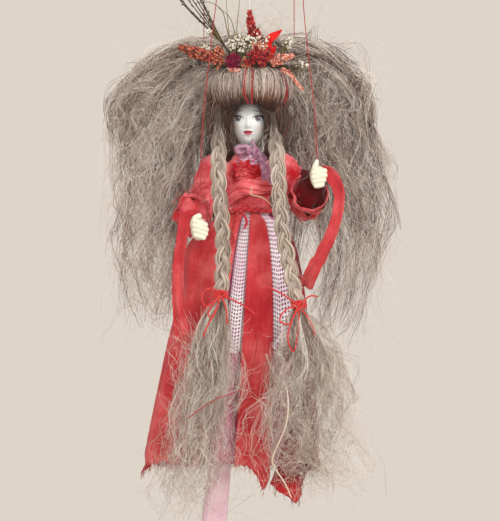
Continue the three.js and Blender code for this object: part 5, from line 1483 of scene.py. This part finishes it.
def stalks(name, finish, slot, routes, radius, *nodes, points=26):
    """Piece of dry stems along these routes, thinner towards their tips."""
    lines = [smooth_line(route, points) for route in routes]
    taper = np.linspace(1, 0.45, points)[None] * np.broadcast_to(np.asarray(radius, float), len(lines))[:, None]
    piece = fibre_piece(name, lines, taper, 5, flower_rng.uniform(0, 1, len(lines)))
    settle(piece, finish, slot, "head", *nodes)


rings, thick = [], []
for strand in range(WREATH_STRANDS):
    swing = np.linspace(0, 2 * np.pi, WREATH_POINTS)
    lean = 2 * np.pi * strand / WREATH_STRANDS + 6 * swing + 0.4 * np.sin(5 * swing + strand)
    out = WREATH_R + 2.0 * np.cos(lean) + 0.5 * np.sin(11 * swing + strand)
    rings.append(np.column_stack([out * np.sin(swing), -out * np.cos(swing), WREATH_Z - 1.2 + 2.0 * np.sin(lean)]))
    thick.append(flower_rng.uniform(0.5, 0.95))
for _ in range(WREATH_TWIGS):
    swing = flower_rng.uniform(-2.2, 2.2)
    foot = np.array([WREATH_R * math.sin(swing), -WREATH_R * math.cos(swing), WREATH_Z - 1])
    ahead = foot * (0.25, 0.25, 0) + (7 * np.sign(foot[0]), -2, flower_rng.normal(-1, 3))
    tip = foot + ahead * flower_rng.uniform(0.7, 1.4)
    rings.append(smooth_line([foot, foot + 0.5 * ahead + (0, 0, 1), tip], WREATH_POINTS))
    thick.append(0.42)
wreath = fibre_piece("twig_ring", rings, np.array(thick)[:, None], 5, flower_rng.uniform(0, 1, len(rings)))
settle(wreath, twig, "twig", "head", "wreath")

grass_tips = [(-68, -14, -54), (-64, -16, -50), (-61, -13, -47), (-57, -15, -46), (-53, -13, -46),
              (-66, -10, -58), (-49, -12, -50)]
grass_routes = [[GRASS_FOOT, (-25 + 0.08 * (x + 60), -11, -100), (0.72 * x - 4, y, 0.72 * z - 33), (x, y, z)]
                for x, y, z in grass_tips]
stalks("grass_bundle", twig, "twig", grass_routes, 0.8, "grass_stems")
seeds = []
for route in grass_routes:
    line = smooth_line(route, 40)
    for place in range(20, 40, 2):
        ahead = line[place] - line[place - 1]
        side = flower_rng.normal(0, 0.45, 3)
        towards = ahead / np.linalg.norm(ahead) + side
        seeds.append((line[place] + side * 1.4, towards, 3.4, 1.1, flower_rng.uniform(0, 0.8)))
florets("grass_seeds", twig, "twig", seeds)
stalks("olive_stems", olive, "twig", [
    [(-16, -14, -118), (-18, -14, -92), (-20, -13, -70), (-21, -13, -54)],
    [(-9, -14, -116), (-11, -14, -93), (-9, -13, -70), (-8, -12, -54)],
    [(-12, -14, -112), (-19, -14, -92), (-24, -14, -73), (-35, -14, -65.5), (-44, -14, -66)],
    [(-11, -14, -112), (-13, -14, -92), (-18, -14, -78), (-28, -14, -70)],
    [(-20, -14, -118), (-27, -14, -98), (-33, -14, -84), (-38, -14, -72)],
    [(2, -12, -116), (5, -12, -98), (10, -11, -84)],
    [(-24, -16, -118), (-34, -17, -106), (-42, -17, -100)],
    [(22, -16, -118), (32, -16, -106), (38, -16, -98)],
], 0.5)

florets("celosia_spike", crimson, "dried_red",
        spike([(7, -10, -112), (4, -10.5, -96), (1.5, -10, -84), (0.5, -9, -72)], [3.5, 4.6, 3.8, 1.0],
              330, 3.2, 1.5, 1.1)
        + spike([(8, -11, -110), (8.5, -12, -98), (8, -12, -88)], [3, 3, 0.8], 110, 2.8, 1.4, 1.0), "red_spike")
petals("scarlet_leaves", scarlet, "dried_red", [
    ((13, -15, -103), (15, -1, 11), (0.3, -1, 0.4), 21, 7.5, 2.0, 0.55),
    ((15, -15, -112), (4, -1, 12), (0.2, -1, 0), 14, 6.5, 1.5, 0.45),
    ((16, -14, -118), (9, -1, 15), (0, -1, 0), 16, 6, 1.0, 0.25),
    ((12, -16, -108), (6, -1, 9), (0, -1, 0.3), 10, 5, 1.0, 0.8),
], "red_leaf")
petals("salmon_petals", rust, "dried_orange",
       [((6 + 5 * k / 4, -17, -110), (flower_rng.normal(0, 3), -2, 8), (0.2, -1, 0.2), 10, 4.2, 1.2, 0.75)
        for k in range(5)]
       + [((-5, -27, -125), (1, -2, 8), (0, -1, 0.2), 11, 5.5, 1.5, 0.85),
          ((-1, -28, -126), (2, -2, 7), (0, -1, 0), 9, 4.5, 1.0, 0.7)])
florets("rust_bits", rust, "dried_orange",
        cloud((-27.5, -22, -115), (5.5, 4, 10.5), 120, 3.0, 1.7))

bracts = []
for count, tilt, length, width in ((6, 14, 4.6, 2.0), (10, 30, 5.6, 2.4), (13, 48, 6.6, 2.7),
                                   (15, 66, 7.6, 2.9), (16, 84, 8.0, 3.0)):
    for k in range(count):
        swing = 2 * math.pi * (k + flower_rng.uniform(-0.2, 0.2)) / count + 0.3 * tilt
        lean = math.radians(tilt + flower_rng.normal(0, 5))
        towards = (math.sin(lean) * math.cos(swing), -math.cos(lean), math.sin(lean) * math.sin(swing))
        face = (-math.cos(lean) * math.cos(swing), -math.sin(lean), -math.cos(lean) * math.sin(swing))
        bracts.append((STRAW_MIDDLE, towards, face, length, width, 1.2, flower_rng.uniform(0.15, 0.9)))
petals("straw_bracts", magenta, "dried_red", bracts, "strawflower")

mass = []
for middle, size in (((4, -31, -116), 1.0), ((12, -31.5, -118), 1.1), ((8, -30, -111), 0.9),
                     ((17, -29, -113), 0.8), ((0, -31, -121), 0.7)):
    for _ in range(22):
        out = flower_rng.normal(size=3) * (1, 0.7, 1) + (0, -0.7, 0)
        out /= np.linalg.norm(out)
        face = np.cross(out, flower_rng.normal(size=3))
        length = 6.2 * size * flower_rng.uniform(0.8, 1.2)
        mass.append((np.array(middle), out, face, length, 3.6 * size, 1.5, flower_rng.uniform(0, 0.75)))
petals("red_petals", crimson, "dried_red", mass, "red_flower")

florets("orange_plume_florets", dark_rust, "dried_orange",
        spike([(-27, -20, -119), (-38, -21, -114), (-50, -21.5, -110), (-63, -22, -105.5)], [1.5, 5.0, 5.2, 1.2],
              420, 3.4, 1.5, 1.0), "orange_plume")
florets("salmon_spike", salmon, "dried_orange",
        spike([(20, -22, -121), (28, -22, -117), (40, -21, -113)], [3.0, 4.6, 1.0], 190, 3.0, 1.5, 0.9))
TWIG_ROUTES = [[(19, -21, -123), (33, -18, -122), (45, -15, -121), (54, -13, -119)],
               [(20, -20, -124), (34, -16, -124), (46, -13, -125), (53, -12, -127)],
               [(21, -19, -121), (32, -15, -118), (42, -12, -115), (49, -11, -113)],
               [(20, -18, -122), (31, -14, -119), (38, -10, -113), (42, -8, -107)],
               [(-21, -20, -123), (-32, -18, -124), (-42, -16, -123)]]
stalks("side_twigs", twig, "twig", TWIG_ROUTES, 0.65, "right_twigs")
blossoms, sprays = [], []
for middle, half, count in (((-5, -18, -103), (17, 5, 8.5), 190), ((-36, -16, -92), (3.5, 3, 3), 14),
                            ((-39, -18, -107), (5.5, 3, 3.5), 30), ((35, -16, -102), (5, 3, 7), 34),
                            ((48, -12, -121), (7, 3, 4), 22), ((12, -18, -100), (8, 4, 8), 30)):
    for row in cloud(middle, half, count, 2.1, 1.9):
        blossoms.append(row)
        foot = np.array(row[0]) * (0.75, 0.8, 1) + (0, 0, -9 + flower_rng.normal(0, 2))
        sprays.append([row[0], 0.5 * (np.array(row[0]) + foot) + (0.6, 0, 0), foot])
florets("white_sprays", cream_bud, "dried_orange", blossoms)
stalks("spray_stems", olive, "twig", sprays, 0.2, points=10)
florets("peach_strand", salmon, "dried_orange",
        spike([(30, -26, -126), (37, -27, -131), (42, -26, -138), (48, -23, -144)], [1.6, 2.0, 1.4, 0.4],
              95, 3.6, 1.2, 1.6)
        + cloud((-13, -31.5, -127), (6.5, 2.0, 2.4), 44, 2.6, 1.3, (0.3, 1)))


# Red ribbons and threads: narrow bands laid over the roll from the wreath, a loop at its right, and loose
# raffia and sewing threads, one across the chest and one caught in each tassel.
ROLL_BANDS = [[(-2, 0.12), (-4, 0.3), (-4.5, 0.45), (-1.5, 0.62), (-0.5, 0.74)],
              [(3, 0.16), (2.6, 0.35), (2.5, 0.55), (2, 0.74)],
              [(22, 0.1), (31, 0.3), (33, 0.45), (28, 0.62), (19, 0.76)]]
bands = []
for band in ROLL_BANDS:
    for offset in (-0.5, 0.5):
        line = []
        for x, run in smooth_line(band, 24):
            reach = ROLL_PROFILE[int(run * (ROLL_STEPS - 1))][0] * ROLL_R
            line.append(roll_point(math.asin(max(-0.98, min(0.98, (x + offset) / reach))), run, 1.1))
        bands.append(line)
settle(fibre_piece("roll_ribbons", bands, 0.62, 5), twisted_finish("roll_ribbon", (128, 18, 22), (186, 40, 40), 150),
       "red_thread", "head")

DRESS_THREADS = [
    ("raffia_thread", "torso", (232, 206, 160), 0.5,
     [(3, -33, -231), (2, -36, -238), (14, -40, -242), (31, -38, -258)]),
    ("pale_thread", "right_braid", (250, 230, 204), 0.6,
     [(15, -43, -379), (21, -46, -395), (31, -68, -405), (34, -84, -418), (32, -86, -440),
      (21, -80, -467), (22, -80, -476), (31, -84, -490), (37, -82, -503)]),
    ("red_loose_thread", "left_braid", (196, 40, 44), 0.45,
     [(8, -40, -359), (6, -42, -377), (1, -44, -400), (-8, -66, -410), (-26, -85, -416),
      (-40, -85, -424), (-53, -82, -434)]),
]
for thread_name, body, colour, radius, route in DRESS_THREADS:
    line = smooth_line(route, 60)
    thread = fibre_piece(thread_name, [line], radius, 6)
    settle(thread, twisted_finish(thread_name, [c * 0.8 for c in colour], colour, 300), "raffia", body)
